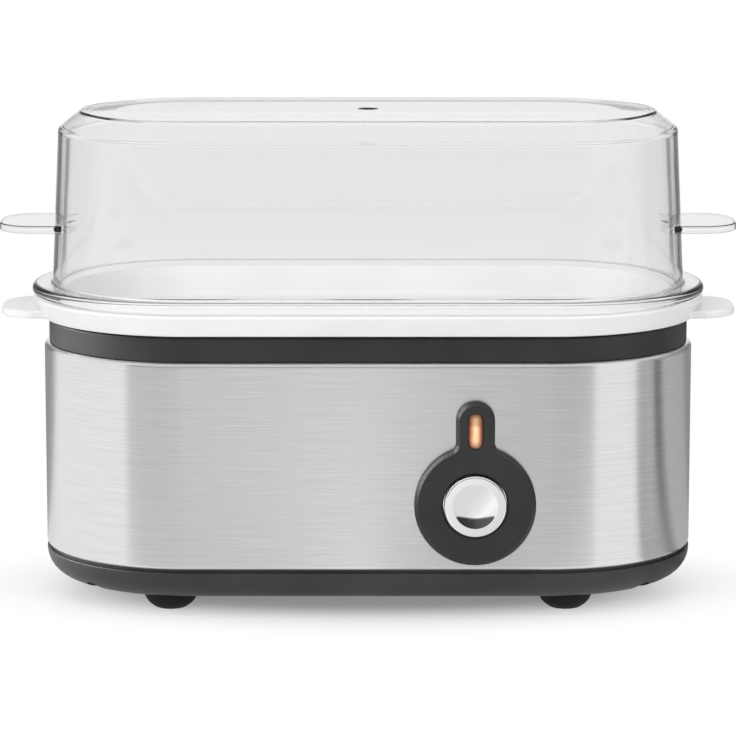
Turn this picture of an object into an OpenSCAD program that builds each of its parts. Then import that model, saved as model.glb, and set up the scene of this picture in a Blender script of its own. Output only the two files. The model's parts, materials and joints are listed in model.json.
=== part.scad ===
// Electric egg cooker for three eggs: a steel-banded base with a heated water
// pan, a lift-out egg tray and a clear lift-off lid.
// Frame: the front faces -Y, +X is to the right, +Z is up, and the origin is on
// the worktop under the middle of the body. All lengths are in millimetres.

/* [Body] */
// Width of the body across its round ends
body_w = 188; // [180:1:204]
// Depth of the body, which is also the diameter of its round ends
body_d = 86; // [82:1:96]
// Height of the steel band
band_h = 59.6; // [58:0.2:70]
// Sheet thickness of the steel band
band_t = 0.6; // [0.4:0.1:0.9]
// Outer bend radius of the band's rolled edges
roll_r = 1.4; // [1:0.1:1.8]
// How far the rolled edges turn inwards
hem_w = 1.9; // [1.8:0.1:2.4]

/* [Base] */
// Gap between the worktop and the underside of the base
foot_h = 4.8; // [4:0.2:8]
// Height of the base between its underside and the band
base_h = 8.8; // [8:0.2:14]
// Radius of the rounded lower edge of the base
base_round = 8.2; // [4:0.2:9]
// Wall thickness of the moulded base
base_wall = 2.2; // [1.6:0.1:3]
// Height of the shadow groove between the base and the band
groove_h = 0.7; // [0.4:0.1:1.2]
// Depth of the shadow groove
groove_d = 1.2; // [0.8:0.1:1.6]
// Diameter of a foot at its top
foot_d = 15.6; // [13:0.2:16]
// Diameter of the flat under a foot
foot_flat = 8.6; // [8:0.2:10]

/* [Collar and pan] */
// Height of the dark collar above the band
collar_h = 7.3; // [6.8:0.1:10]
// Step from the band in to the collar
collar_in = 1.4; // [0.8:0.1:1.6]
// Depth of the ledge for the pan below the top of the collar
ledge_drop = 6.3; // [5.6:0.1:7]
// Depth of the pan below its flange
pan_depth = 11.4; // [9:0.2:12]
// Sheet thickness of the pan
pan_t = 1.2; // [0.8:0.1:1.6]
// Width of the pan's flange, measured from its inner wall
flange_w = 4.2; // [3.6:0.1:5]
// Thickness of the seal under the pan's flange
seal_t = 1.2; // [0.8:0.1:1.6]

/* [Egg tray] */
// Height of the tray's visible outer skirt
tray_h = 6.2; // [5:0.1:9]
// Wall thickness of the tray
tray_t = 1.8; // [1.4:0.1:2.2]
// Overhang of the tray's rim past the body
rim_out = 3; // [2:0.1:4]
// Inset of the tray's dish from the edge of the body
dish_in = 5.3; // [5:0.1:6]
// Height of the inner lip that centres the lid
lip_h = 2.3; // [1.5:0.1:3]
// Spacing of the egg seats
egg_pitch = 51; // [46:0.5:54]
// Diameter of an egg seat at its mouth
seat_mouth = 33; // [30:0.5:36]
// Diameter of an egg seat at its throat
seat_throat = 26; // [22:0.5:28]

/* [Lid] */
// Height of the lid
lid_h = 53; // [44:0.5:64]
// Wall thickness of the lid
lid_t = 2; // [1.4:0.1:2.4]
// Thickness of the lid's rim
lid_rim_t = 3.2; // [2.4:0.1:4]
// Inward lean of the lid's wall over its height
lid_lean = 2.25; // [1:0.05:3.5]
// Width of the bevel round the top of the lid
bevel_w = 6.7; // [4:0.1:9]
// Height of the bevel round the top of the lid
bevel_h = 5.3; // [3:0.1:7]
// Height of the lid's side tabs above its rim
tab_rise = 18.6; // [10:0.2:26]
// Width of the side tabs on the lid and the tray
tab_w = 30; // [24:1:36]
// Reach of the side tabs past the rim
tab_out = 9; // [6:0.5:13]
// Thickness of the side tabs
tab_t = 2.2; // [1.6:0.1:2.6]
// Corner radius of the side tabs
tab_corner = 11; // [6:0.5:11.5]
// Diameter of the steam hole in the top of the lid
steam_d = 5; // [3:0.5:8]

/* [Control] */
// Distance of the button to the right of the middle
dial_x = 30.2; // [24:0.2:34]
// Height of the button above the lower edge of the band
dial_rise = 19.2; // [18.6:0.2:21]
// Diameter of the round part of the bezel
bezel_d = 34.4; // [32:0.2:36]
// Width of the upright part of the bezel round the lamp window
bezel_tab_w = 11; // [10.4:0.2:12]
// Height of the round top of the bezel above the button
bezel_rise = 24.3; // [23.6:0.1:25]
// Thickness of the bezel in front of the band
bezel_t = 2.2; // [1.6:0.1:2.4]
// Diameter of the push button
button_d = 17.6; // [15:0.2:18]
// Travel of the push button
button_travel = 3; // [2:0.1:3.4]
// Width of the lamp window
lens_w = 4.2; // [3.6:0.1:4.6]
// Height of the lamp window
lens_h = 10.3; // [9:0.1:11]

/* [Cord outlet] */
// Distance of the cord outlet from the middle, at the back
gland_x = -33; // [-40:1:-20]
// Height of the cord outlet above the lower edge of the band
gland_rise = 16.4; // [15:0.2:24]
// Bore of the cord outlet
gland_bore = 7; // [6:0.2:8]

/* [Clearances] */
// Gap under the tray and under the lid where they rest
seat_gap = 0.3; // [0.2:0.05:0.5]
// Side play of the tray in the collar
tray_gap = 0.6; // [0.4:0.05:1]
// Side play of the lid round the tray's lip
lid_gap = 0.8; // [0.5:0.05:1.2]
// Side play of the pan in the collar
pan_gap = 0.5; // [0.3:0.05:0.8]
// Gap between fixed housing pieces that slide into each other
slip_gap = 0.4; // [0.3:0.05:0.6]
// Gap round the button and its stem
press_gap = 0.3; // [0.2:0.05:0.4]
// Gap round fixed pins, screws and lenses
pin_gap = 0.1; // [0.05:0.05:0.2]

/* [Hidden] */
$fn = 72;
// How far cuts run past a face, and pieces run into one that they join
over = 1;

// Plan of the body: two round ends joined by straight sides
end_r = body_d / 2;
half = (body_w - body_d) / 2;
hem_r = end_r - hem_w;
collar_r = end_r - collar_in;
dish_r = end_r - dish_in;
collar_open_r = dish_r + tray_gap;
flange_r = collar_open_r - pan_gap;
mouth_r = flange_r - flange_w;
pan_slope = 2.6;
floor_r = mouth_r - pan_slope;
ledge_r = mouth_r + pan_t + pan_gap;
spigot_t = 1.8;
spigot_h = 8;
base_spigot_h = 3;
spigot_r = hem_r - slip_gap;
tray_rim_r = end_r + rim_out;
lid_overhang = 0.25;
lid_rim_r = tray_rim_r + lid_overhang;
lid_foot_r = dish_r + lid_gap + lid_t;
shoulder_r = lid_foot_r - lid_lean;
crown_r = shoulder_r - bevel_w;

// Levels above the worktop
z_base = foot_h;
z_floor = z_base + base_wall;
z_band0 = z_base + base_h;
z_band1 = z_band0 + band_h;
z_collar = z_band1 + collar_h;
dial_z = z_band0 + dial_rise;
gland_z = z_band0 + gland_rise;
z_ledge = z_collar - ledge_drop;
ledge_t = 2;
z_flange = z_ledge + seal_t;
z_pan = z_flange - pan_depth;
z_tray = z_collar + seat_gap;
z_rim = z_tray + tray_h;
z_lip = z_rim + lip_h;
dish_drop = 1.8;
z_dish = z_collar - dish_drop;
seat_drop = 1.6;
z_lid = z_rim + seat_gap;
z_top = z_lid + lid_h;
z_shoulder = z_top - bevel_h;

// Housing screws, in posts near the round ends
screw_r = 1.4;
screw_head_r = 2.7;
screw_head_h = 2.4;
post_r = 2.7;
post_inset = 0.4;
post_at = spigot_r - post_inset - post_r;
post_angle = 45;
post_x = half + post_at * cos(post_angle);
post_y = post_at * sin(post_angle);
post_rise = 8;
z_post = z_band0 + post_rise;
head_depth = 4.6;
z_head = z_base + head_depth;
screw_bite = 12;
post_foot_wall = 1.6;
post_foot_r = post_r + post_foot_wall;

// Feet
foot_stem_r = 2.6;
foot_past_end = 5.5;
foot_inset = 15;
foot_x = half + foot_past_end;
foot_y = end_r - foot_inset;
foot_barb_r = 3.5;
foot_barb_h = 1.6;

// Heater under the pan
spread_t = 2.5;
loop_end_inset = 11;
loop_inset = 23;
loop_half = half - loop_end_inset;
loop_r = end_r - loop_inset;
tube_r = 3.2;
bend_r = 9;
pin_x = 10;
pin_r = 1;
z_spread = z_pan - spread_t;
z_loop = z_spread - tube_r - pin_gap;
tail_l = 5;
z_tail = z_loop - bend_r - tail_l;
bead_r = 3.9;
bead_h = 6;
pin_h = 7;
z_pin = z_tail - bead_h - pin_h;
spread_margin = 4.5;
spread_r = loop_r + spread_margin;

// Clamps that pull the pan down on its seal
clamp_past_dial = 14;
clamp_x = dial_x + clamp_past_dial;
clamp_w = 12;
clamp_t = 1.5;
leg_land = 1.1;
leg_r = ledge_r + leg_land;
clamp_drop = 5.5;
z_clamp = z_loop - tube_r - clamp_drop;
stud_r = 2;
nut_r = 4;
nut_h = 3.2;
stud_past_nut = 1.5;
z_stud = z_clamp - nut_h - stud_past_nut;

// Thermostat under the middle of the pan
cap_r = 8;
cap_h = 4.6;
stat_body_r = 7.4;
stat_body_h = 7.5;
ear_x = 12;
ear_w = 8;
ear_t = 0.9;
ear_pad_r = 2.8;
stat_screw_r = 1.2;
stat_tab_x = 5;
stat_tab_h = 5;
z_cap = z_spread - cap_h;
z_stat = z_cap - stat_body_h;
z_stat_tab = z_stat - stat_tab_h;

// Leads: their radius, and the grid that their bends are laid out on
lead_r = 0.9;
lead_step = 1;

// Thermal fuse, lying across the pan beside the thermostat
fuse_x = -25;
fuse_r = 2;
fuse_l = 11;
fuse_wire_r = 0.5;
fuse_bend = 3;
fuse_clear = 1;
fuse_gap = pin_gap * 4;
fuse_wire_l = loop_r - tube_r - fuse_clear - lead_r - fuse_bend * lead_step - fuse_gap - fuse_l / 2;
clip_t = 0.8;
clip_w = 6;
clip_ear = 6.5;
fuse_screw_l = 1.4;
z_fuse = z_spread - fuse_r - pin_gap;

// Push button and switch, in depth behind the band's face
bezel_r = bezel_d / 2;
bezel_edge = 1;
bezel_land = 2.4;
spigot_d = 7;
neck_r = bezel_r - bezel_land;
neck_land = 1;
neck_w = bezel_tab_w - 2 * neck_land;
lug_h = 0.9;
lug_t = 1.3;
lug_span = 24;
bore_r = button_d / 2 + press_gap;
bore_lip = 1;
cap_proud = 0.7;
cap_flange = 0.7;
cap_flange_t = 1.2;
cap_edge = 0.6;
dish_depth = 1.1;
dish_rim = 1.7;
dish_hole_r = button_d / 2 - dish_rim;
dish_sphere_r = (dish_hole_r * dish_hole_r + dish_depth * dish_depth) / (2 * dish_depth);
cap_top = bezel_t + cap_proud;
cap_floor = 0.3;
cap_wall = 2;
carrier_t = 2.4;
carrier_in = 0.7;
carrier_r = bezel_r - carrier_in;
stem_r = 2.8;
stem_l = 16.5;
switch_w = 18;
switch_h = 15;
switch_d = 16;
switch_ear_t = 2;
switch_ear_h = 7;
fix_x = (bore_r + cap_flange + press_gap + neck_r) / 2;
fix_r = 1;
fix_head_r = 2.1;
fix_head_h = 1.8;
fix_hole = 4.5;
fix_bite = 3.6;
fix_margin = 0.6;
tab_pitch = 10;
spade_w = 4.8;
spade_t = 0.8;
spade_l = 8;
z_carrier = -spigot_d - carrier_t;
z_switch = z_carrier - switch_d;
spring_r = 4.6;
spring_wire = 0.35;
spring_turns = 5;

// Lamp window
window_margin = 3.2;
window_y = bezel_rise + bezel_tab_w / 2 - window_margin - lens_h / 2;
lens_flange = 0.6;
lens_flange_t = 1.2;
lens_back = 1.5;
lens_proud = 0.3;
lamp_r = 1.75;
lamp_wall = 0.3;
lamp_y = window_y - lens_h / 2;
lamp_stand = 1;
lamp_z = -(lens_back + lens_flange_t + lamp_r + press_gap);
electrode_r = 0.3;
electrode_x = 0.6;

// Cord outlet and terminal block
gland_flange_r = 8.5;
gland_flange_t = 2.6;
gland_body_r = 5.8;
gland_body_l = 12;
gland_nut_t = 4;
gland_nut_r = 9.5;
block_w = 26;
block_d = 12;
block_h = 12;
block_y = 14;
block_mid = block_y + block_d / 2;
block_bite = 2;
boss_r = 2.6;
z_block = z_floor + base_wall / 2 + pin_gap;
block_port_z = z_floor + block_h / 2;
port_pitch = 8;
port_r = 1.6;
port_depth = 4;
port_in = 3;

// Sweeps a profile of radius and height round the plan of the body
module around(l = half) {
    for (side = [-1, 1])
        translate([side * l, 0, 0])
            rotate([0, 0, -side * 90])
                rotate_extrude(angle = 180)
                    children();
    for (side = [0, 1])
        mirror([0, side, 0])
            translate([-l, 0, 0])
                rotate([90, 0, 90])
                    linear_extrude(2 * l)
                        children();
}

// A quarter of a disc, for rounding the corner of a section
module quarter_disc(r) {
    intersection() {
        circle(r);
        square(r);
    }
}

// A solid slab or a ring with the plan of the body
module track(r, z0, z1, l = half) {
    around(l)
        translate([0, z0])
            square([r, z1 - z0]);
}

module track_ring(r0, r1, z0, z1) {
    around()
        translate([r0, z0])
            square([r1 - r0, z1 - z0]);
}

// A side tab with rounded corners, from a wall of radius root_r out to tip
module side_tab(side, tip, root_r, z) {
    difference() {
        mirror([side < 0 ? 1 : 0, 0, 0])
            translate([0, 0, z]) {
                translate([half, -tab_w / 2, 0])
                    cube([tip - tab_corner - half, tab_w, tab_t]);
                translate([half, tab_corner - tab_w / 2, 0])
                    cube([tip - half, tab_w - 2 * tab_corner, tab_t]);
                for (y = [tab_corner - tab_w / 2, tab_w / 2 - tab_corner])
                    translate([tip - tab_corner, y, 0])
                        cylinder(h = tab_t, r = tab_corner);
            }
        track(root_r, z - over, z + tab_t + over);
    }
}

module lid_rim_profile() {
    nose = lid_rim_t / 2;
    translate([lid_foot_r - lid_t, z_lid])
        square([lid_rim_r - nose - lid_foot_r + lid_t, lid_rim_t]);
    translate([lid_rim_r - nose, z_lid + nose])
        circle(nose);
}

module lid() {
    bevel_slope = atan(bevel_h / bevel_w);
    crown_shift = lid_t * tan(bevel_slope / 2);
    shoulder_shift = lid_t * tan((90 - bevel_slope) / 2);
    z_tab = z_lid + tab_rise;
    lean_at_tab = lid_lean * tab_rise / (z_shoulder - z_lid);
    color([0.86, 0.9, 0.92, 0.5])
        difference() {
            union() {
                around()
                    polygon([
                        [lid_foot_r, z_lid],
                        [shoulder_r, z_shoulder],
                        [crown_r, z_top],
                        [0, z_top],
                        [0, z_top - lid_t],
                        [crown_r - crown_shift, z_top - lid_t],
                        [shoulder_r - lid_t, z_shoulder - shoulder_shift],
                        [lid_foot_r - lid_t, z_lid]
                    ]);
                around()
                    lid_rim_profile();
                for (side = [-1, 1])
                    side_tab(side, half + lid_rim_r + tab_out, lid_foot_r - lean_at_tab - lid_t / 2, z_tab);
            }
            translate([0, 0, z_top - 2 * lid_t])
                cylinder(h = 3 * lid_t, d = steam_d);
        }
}

// One funnel-shaped egg seat, and the hole through it
module seat_wall() {
    translate([0, 0, z_dish - seat_drop])
        cylinder(h = seat_drop + tray_t / 2, d1 = seat_throat + 2 * tray_t, d2 = seat_mouth + tray_t);
}

module seat_hole() {
    rise = seat_drop + tray_t;
    spread = (seat_mouth - seat_throat) / rise;
    translate([0, 0, z_dish - seat_drop - over])
        cylinder(h = rise + 2 * over, d1 = seat_throat - spread * over, d2 = seat_mouth + spread * over);
}

module steam_slot(length, width = 3) {
    translate([-length / 2, -width / 2, z_dish - over])
        cube([length, width, tray_t + 2 * over]);
    for (x = [-length / 2, length / 2])
        translate([x, 0, z_dish - over])
            cylinder(h = tray_t + 2 * over, d = width);
}

module egg_tray() {
    edge = 0.6;
    lip_t = 1.4;
    skirt_r = collar_r + tray_t;
    dish_taper = 1.2;
    slot_l = 14;
    slot_past_seat = 7;
    slot_y = seat_mouth / 2 + slot_past_seat;
    color("ghostwhite")
        difference() {
            union() {
                around()
                    polygon([
                        [0, z_dish],
                        [dish_r, z_dish],
                        [dish_r, z_rim - tray_t],
                        [tray_rim_r - tray_t - edge, z_rim - tray_t],
                        [skirt_r - tray_t, z_tray],
                        [skirt_r, z_tray],
                        [tray_rim_r, z_rim - edge],
                        [tray_rim_r - edge, z_rim],
                        [dish_r, z_rim],
                        [dish_r, z_lip - edge],
                        [dish_r - edge, z_lip],
                        [dish_r - lip_t, z_lip],
                        [dish_r - tray_t - dish_taper, z_dish + tray_t],
                        [0, z_dish + tray_t]
                    ]);
                for (i = [-1, 0, 1])
                    translate([i * egg_pitch, 0, 0])
                        seat_wall();
                for (side = [-1, 1])
                    side_tab(side, half + tray_rim_r + tab_out, skirt_r - tray_t / 2, z_tray + edge);
            }
            for (i = [-1, 0, 1])
                translate([i * egg_pitch, 0, 0])
                    seat_hole();
            for (x = [-egg_pitch / 2, egg_pitch / 2], side = [-1, 1])
                translate([x, side * slot_y, 0])
                    steam_slot(slot_l);
        }
}

module each_post() {
    for (x = [-post_x, post_x], y = [-post_y, post_y])
        translate([x, y, 0])
            children();
}

module top_collar() {
    edge = 0.8;
    color("dimgray")
        difference() {
            union() {
                around()
                    polygon([
                        [ledge_r, z_ledge - ledge_t],
                        [spigot_r - spigot_t, z_ledge - ledge_t],
                        [spigot_r - spigot_t, z_band1 - spigot_h],
                        [spigot_r, z_band1 - spigot_h],
                        [spigot_r, z_band1 + pin_gap],
                        [collar_r, z_band1 + pin_gap],
                        [collar_r, z_collar - edge],
                        [collar_r - edge, z_collar],
                        [collar_open_r, z_collar],
                        [collar_open_r, z_ledge],
                        [ledge_r, z_ledge]
                    ]);
                each_post()
                    translate([0, 0, z_post + pin_gap])
                        cylinder(h = z_ledge - ledge_t / 2 - z_post, r = post_r);
            }
            each_post()
                translate([0, 0, z_post])
                    cylinder(h = screw_bite + over, r = screw_r + pin_gap);
        }
}

// Section of one rolled edge of the sheet, seen from the bend's centre
module rolled_edge() {
    difference() {
        quarter_disc(roll_r);
        circle(roll_r - band_t);
    }
    translate([roll_r - hem_w, roll_r - band_t])
        square([hem_w - roll_r, band_t]);
}

// Outline of the bezel, drawn round the button's centre
module keyhole(r, w) {
    circle(r);
    translate([-w / 2, 0])
        square([w, bezel_rise]);
    translate([0, bezel_rise])
        circle(w / 2);
}

// Places children at the button, with z pointing out of the front face
module at_dial() {
    translate([dial_x, -end_r, dial_z])
        rotate([90, 0, 0])
            children();
}

// Places children at the cord outlet, with z pointing out of the back
module at_gland() {
    translate([gland_x, end_r, gland_z])
        rotate([-90, 0, 0])
            children();
}

module steel_band() {
    cut = 4;
    color("silver")
        difference() {
            around() {
                translate([end_r - band_t, z_band0 + roll_r])
                    square([band_t, band_h - 2 * roll_r]);
                translate([end_r - roll_r, z_band1 - roll_r])
                    rolled_edge();
                translate([end_r - roll_r, z_band0 + roll_r])
                    mirror([0, 1])
                        rolled_edge();
            }
            at_dial()
                translate([0, 0, -cut])
                    linear_extrude(2 * cut)
                        keyhole(neck_r + slip_gap, neck_w + 2 * slip_gap);
            at_gland()
                translate([0, 0, -cut])
                    cylinder(h = 2 * cut, r = gland_body_r + pin_gap);
        }
}

// Section of the base with its lower edge rounded, grown inwards by inset
module base_section(inset) {
    r = min(base_round, base_h - groove_h) - inset;
    width = end_r - inset;
    bottom = z_base + inset;
    translate([0, bottom])
        square([width - r, z_band0 - bottom]);
    translate([0, bottom + r])
        square([width, z_band0 - bottom - r]);
    translate([width - r, bottom + r])
        mirror([0, 1])
            quarter_disc(r);
}

module base_shell() {
    shelf_r = end_r - (base_wall + groove_d) / 2;
    shelf_z = z_band0 - base_wall;
    vent_l = 26;
    vent_w = 2.4;
    vent_pitch = 7;
    color([0.24, 0.24, 0.25])
        difference() {
            union() {
                difference() {
                    around()
                        base_section(0);
                    difference() {
                        around()
                            base_section(base_wall);
                        each_post()
                            cylinder(h = z_band0, r = post_foot_r);
                    }
                    track_ring(end_r - groove_d, end_r + over, z_band0 - groove_h, z_band0 + over);
                }
                track_ring(spigot_r - spigot_t, spigot_r, shelf_z, z_band0 + base_spigot_h);
                track_ring(spigot_r - spigot_t, shelf_r, shelf_z, z_band0);
                each_post()
                    translate([0, 0, shelf_z])
                        cylinder(h = z_post - shelf_z, r = post_r);
                translate([gland_x, block_mid, z_floor - base_wall / 2])
                    cylinder(h = base_wall, r = boss_r);
            }
            each_post() {
                cylinder(h = z_head, r = screw_head_r + pin_gap * 4);
                cylinder(h = z_post + over, r = screw_r + pin_gap * 2);
            }
            translate([gland_x, block_mid, z_block - block_bite - pin_gap])
                cylinder(h = block_bite + over, r = fix_r + pin_gap);
            for (x = [-foot_x, foot_x], y = [-foot_y, foot_y])
                translate([x, y, 0])
                    cylinder(h = z_floor + over, r = foot_stem_r + pin_gap);
            for (i = [-2:2])
                translate([0, i * vent_pitch, z_base - over]) {
                    translate([-vent_l / 2, -vent_w / 2, 0])
                        cube([vent_l, vent_w, base_wall + 2 * over]);
                    for (x = [-vent_l / 2, vent_l / 2])
                        translate([x, 0, 0])
                            cylinder(h = base_wall + 2 * over, d = vent_w);
                }
        }
}

// A push-in rubber foot: a domed pad, a stem and a barb inside the base
module foot(x_side, y_side) {
    pad_r = foot_d / 2;
    flat_r = foot_flat / 2;
    drop = pad_r - flat_r;
    dome_r = (drop * drop + foot_h * foot_h) / (2 * drop);
    color([0.1, 0.1, 0.1])
        translate([x_side * foot_x, y_side * foot_y, 0])
            rotate_extrude() {
                intersection() {
                    translate([pad_r - dome_r, z_base])
                        circle(dome_r);
                    square([pad_r, z_base]);
                }
                square([max(pad_r - dome_r, flat_r / 2), z_base]);
                square([foot_stem_r, z_floor + pin_gap + foot_barb_h]);
                translate([0, z_floor + pin_gap])
                    square([foot_barb_r, foot_barb_h]);
            }
}

module base_screws() {
    color("gray")
        each_post() {
            translate([0, 0, z_head - screw_head_h])
                cylinder(h = screw_head_h, r = screw_head_r);
            translate([0, 0, z_head - over])
                cylinder(h = z_post + screw_bite - z_head, r = screw_r);
        }
}

module heating_pan() {
    color("lightgray")
        around()
            polygon([
                [0, z_pan],
                [floor_r + pan_t, z_pan],
                [mouth_r + pan_t, z_flange],
                [flange_r, z_flange],
                [flange_r, z_flange + pan_t],
                [mouth_r, z_flange + pan_t],
                [floor_r, z_pan + pan_t],
                [0, z_pan + pan_t]
            ]);
}

module pan_seal() {
    color("indianred")
        track_ring(ledge_r + pan_gap, flange_r, z_ledge, z_flange);
}

module heat_spreader() {
    color("darkgray")
        difference() {
            union() {
                track(spread_r, z_spread, z_pan, loop_half);
                for (side = [-1, 1])
                    translate([side * ear_x, 0, z_cap])
                        cylinder(h = cap_h + spread_t / 2, r = ear_pad_r);
            }
            for (side = [-1, 1]) {
                translate([side * clamp_x, 0, z_spread - over])
                    cylinder(h = spread_t + 2 * over, r = stud_r + slip_gap);
                translate([side * ear_x, 0, z_cap - over])
                    cylinder(h = cap_h + over, r = stat_screw_r + pin_gap);
            }
            translate([fuse_x - clip_ear, 0, z_spread - over])
                cylinder(h = spread_t, r = stat_screw_r + pin_gap);
        }
}

module heating_element() {
    color("slategray") {
        for (side = [-1, 1])
            translate([side * loop_half, 0, z_loop])
                rotate([0, 0, -side * 90])
                    rotate_extrude(angle = 180)
                        translate([loop_r, 0])
                            circle(tube_r);
        translate([-loop_half, -loop_r, z_loop])
            rotate([0, 90, 0])
                cylinder(h = 2 * loop_half, r = tube_r);
        for (side = [0, 1])
            mirror([side, 0, 0]) {
                translate([pin_x + bend_r, loop_r, z_loop])
                    rotate([0, 90, 0])
                        cylinder(h = loop_half - pin_x - bend_r, r = tube_r);
                translate([pin_x + bend_r, loop_r, z_loop - bend_r])
                    mirror([1, 0, 0])
                        rotate([90, 0, 0])
                            rotate_extrude(angle = 90)
                                translate([bend_r, 0])
                                    circle(tube_r);
                translate([pin_x, loop_r, z_tail])
                    cylinder(h = z_loop - bend_r - z_tail, r = tube_r);
            }
    }
}

module terminal_insulators() {
    color("ivory")
        for (side = [-1, 1])
            translate([side * pin_x, loop_r, z_tail - bead_h])
                difference() {
                    cylinder(h = bead_h, r = bead_r);
                    translate([0, 0, -over])
                        cylinder(h = bead_h + 2 * over, r = pin_r + pin_gap);
                }
}

module terminal_pins() {
    color("goldenrod")
        for (side = [-1, 1])
            translate([side * pin_x, loop_r, z_pin])
                cylinder(h = z_tail - z_pin, r = pin_r);
}

module pan_studs() {
    color("gray")
        for (side = [-1, 1])
            translate([side * clamp_x, 0, z_stud])
                cylinder(h = z_pan - z_stud, r = stud_r);
}

// A sheet-steel bridge from the front ledge to the back ledge under the pan
module clamp_bridge(side) {
    leg_out = leg_r + clamp_t;
    leg_top = z_ledge - ledge_t;
    color("lightsteelblue")
        difference() {
            translate([side * clamp_x - clamp_w / 2, 0, 0])
                rotate([90, 0, 90])
                    linear_extrude(clamp_w)
                        polygon([
                            [-leg_out, z_clamp],
                            [leg_out, z_clamp],
                            [leg_out, leg_top],
                            [leg_r, leg_top],
                            [leg_r, z_clamp + clamp_t],
                            [-leg_r, z_clamp + clamp_t],
                            [-leg_r, leg_top],
                            [-leg_out, leg_top]
                        ]);
            translate([side * clamp_x, 0, z_clamp - over])
                cylinder(h = clamp_t + 2 * over, r = stud_r + pin_gap * 2);
        }
}

module clamp_nuts() {
    color("gray")
        for (side = [-1, 1])
            translate([side * clamp_x, 0, z_clamp - nut_h])
                difference() {
                    cylinder(h = nut_h, r = nut_r, $fn = 6);
                    translate([0, 0, -over])
                        cylinder(h = nut_h + 2 * over, r = stud_r + pin_gap);
                }
}

module thermostat() {
    color([0.2, 0.18, 0.16])
        difference() {
            union() {
                translate([0, 0, z_cap])
                    cylinder(h = cap_h, r = cap_r);
                translate([0, 0, z_stat])
                    cylinder(h = stat_body_h, r = stat_body_r);
                translate([-ear_x - ear_w / 2, -ear_w / 2, z_cap - ear_t])
                    cube([2 * ear_x + ear_w, ear_w, ear_t]);
            }
            for (side = [-1, 1])
                translate([side * ear_x, 0, z_cap - ear_t - over])
                    cylinder(h = ear_t + 2 * over, r = stat_screw_r + pin_gap * 2);
        }
}

module thermostat_tabs() {
    color("goldenrod")
        for (side = [-1, 1])
            translate([side * stat_tab_x - spade_t / 2, -spade_w / 2, z_stat_tab])
                cube([spade_t, spade_w, stat_tab_h]);
}

module thermostat_screws() {
    color("gray")
        for (side = [-1, 1])
            translate([side * ear_x, 0, z_cap - ear_t]) {
                translate([0, 0, -fix_head_h])
                    cylinder(h = fix_head_h, r = fix_head_r);
                translate([0, 0, -over])
                    cylinder(h = cap_h + over, r = stat_screw_r);
            }
}

module thermal_fuse() {
    color("silver")
        translate([fuse_x, 0, z_fuse])
            rotate([90, 0, 0]) {
                cylinder(h = fuse_l, r = fuse_r, center = true);
                cylinder(h = fuse_l + 2 * fuse_wire_l, r = fuse_wire_r, center = true);
            }
}

// A strap over the fuse, with one ear screwed to the spreader
module fuse_clip() {
    inner = fuse_r + pin_gap;
    outer = inner + clip_t;
    color("lightsteelblue")
        difference() {
            union() {
                translate([fuse_x, clip_w / 2, z_fuse])
                    rotate([90, 0, 0])
                        linear_extrude(clip_w)
                            difference() {
                                union() {
                                    circle(outer);
                                    translate([-outer, 0])
                                        square([2 * outer, inner]);
                                }
                                circle(inner);
                                translate([-inner, 0])
                                    square([2 * inner, inner + over]);
                            }
                translate([fuse_x - clip_ear - clip_w / 2, -clip_w / 2, z_spread - clip_t])
                    cube([clip_ear + clip_w / 2 - inner, clip_w, clip_t]);
            }
            translate([fuse_x - clip_ear, 0, z_spread - clip_t - over])
                cylinder(h = clip_t + 2 * over, r = stat_screw_r + pin_gap * 2);
        }
}

module fuse_screw() {
    color("gray")
        translate([fuse_x - clip_ear, 0, z_spread - clip_t]) {
            translate([0, 0, -fix_head_h])
                cylinder(h = fix_head_h, r = fix_head_r);
            translate([0, 0, -over])
                cylinder(h = over + fuse_screw_l, r = stat_screw_r);
        }
}

// Half section of the bezel's plate with a rounded front edge
module soft_edge(r) {
    square([r - bezel_edge, bezel_t]);
    square([r, bezel_t - bezel_edge]);
    translate([r - bezel_edge, bezel_t - bezel_edge])
        quarter_disc(bezel_edge);
}

// Upright slot with round ends, centred on the lamp window
module window_slot(w, h, z0, z1) {
    reach = (h - w) / 2;
    translate([-w / 2, window_y - reach, z0])
        cube([w, 2 * reach, z1 - z0]);
    for (y = [window_y - reach, window_y + reach])
        translate([0, y, z0])
            cylinder(h = z1 - z0, d = w);
}

module control_bezel() {
    recess = 2 * (lens_flange + pin_gap);
    rear = -spigot_d - over;
    color([0.16, 0.16, 0.17])
        at_dial()
            difference() {
                union() {
                    rotate_extrude()
                        soft_edge(bezel_r);
                    translate([0, bezel_rise, 0])
                        rotate_extrude()
                            soft_edge(bezel_tab_w / 2);
                    translate([0, bezel_rise, 0])
                        rotate([90, 0, 0])
                            linear_extrude(bezel_rise) {
                                soft_edge(bezel_tab_w / 2);
                                mirror([1, 0])
                                    soft_edge(bezel_tab_w / 2);
                            }
                    translate([0, 0, -spigot_d])
                        linear_extrude(spigot_d)
                            keyhole(neck_r, neck_w);
                    for (a = [45:90:315])
                        rotate([0, 0, a - lug_span / 2])
                            rotate_extrude(angle = lug_span)
                                translate([neck_r - over, -band_t - pin_gap - lug_t])
                                    square([over + slip_gap + lug_h, lug_t]);
                }
                translate([0, 0, rear])
                    cylinder(h = bezel_t + over - rear, r = bore_r);
                translate([0, 0, rear])
                    cylinder(h = -bore_lip - rear, r = bore_r + cap_flange + press_gap);
                window_slot(lens_w + 2 * pin_gap, lens_h + 2 * pin_gap, rear, bezel_t + over);
                window_slot(lens_w + recess, lens_h + recess, rear, -lens_back + pin_gap);
                for (x = [-fix_x, fix_x])
                    translate([x, 0, rear])
                        cylinder(h = fix_hole + over, r = fix_r + pin_gap);
            }
}

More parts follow.
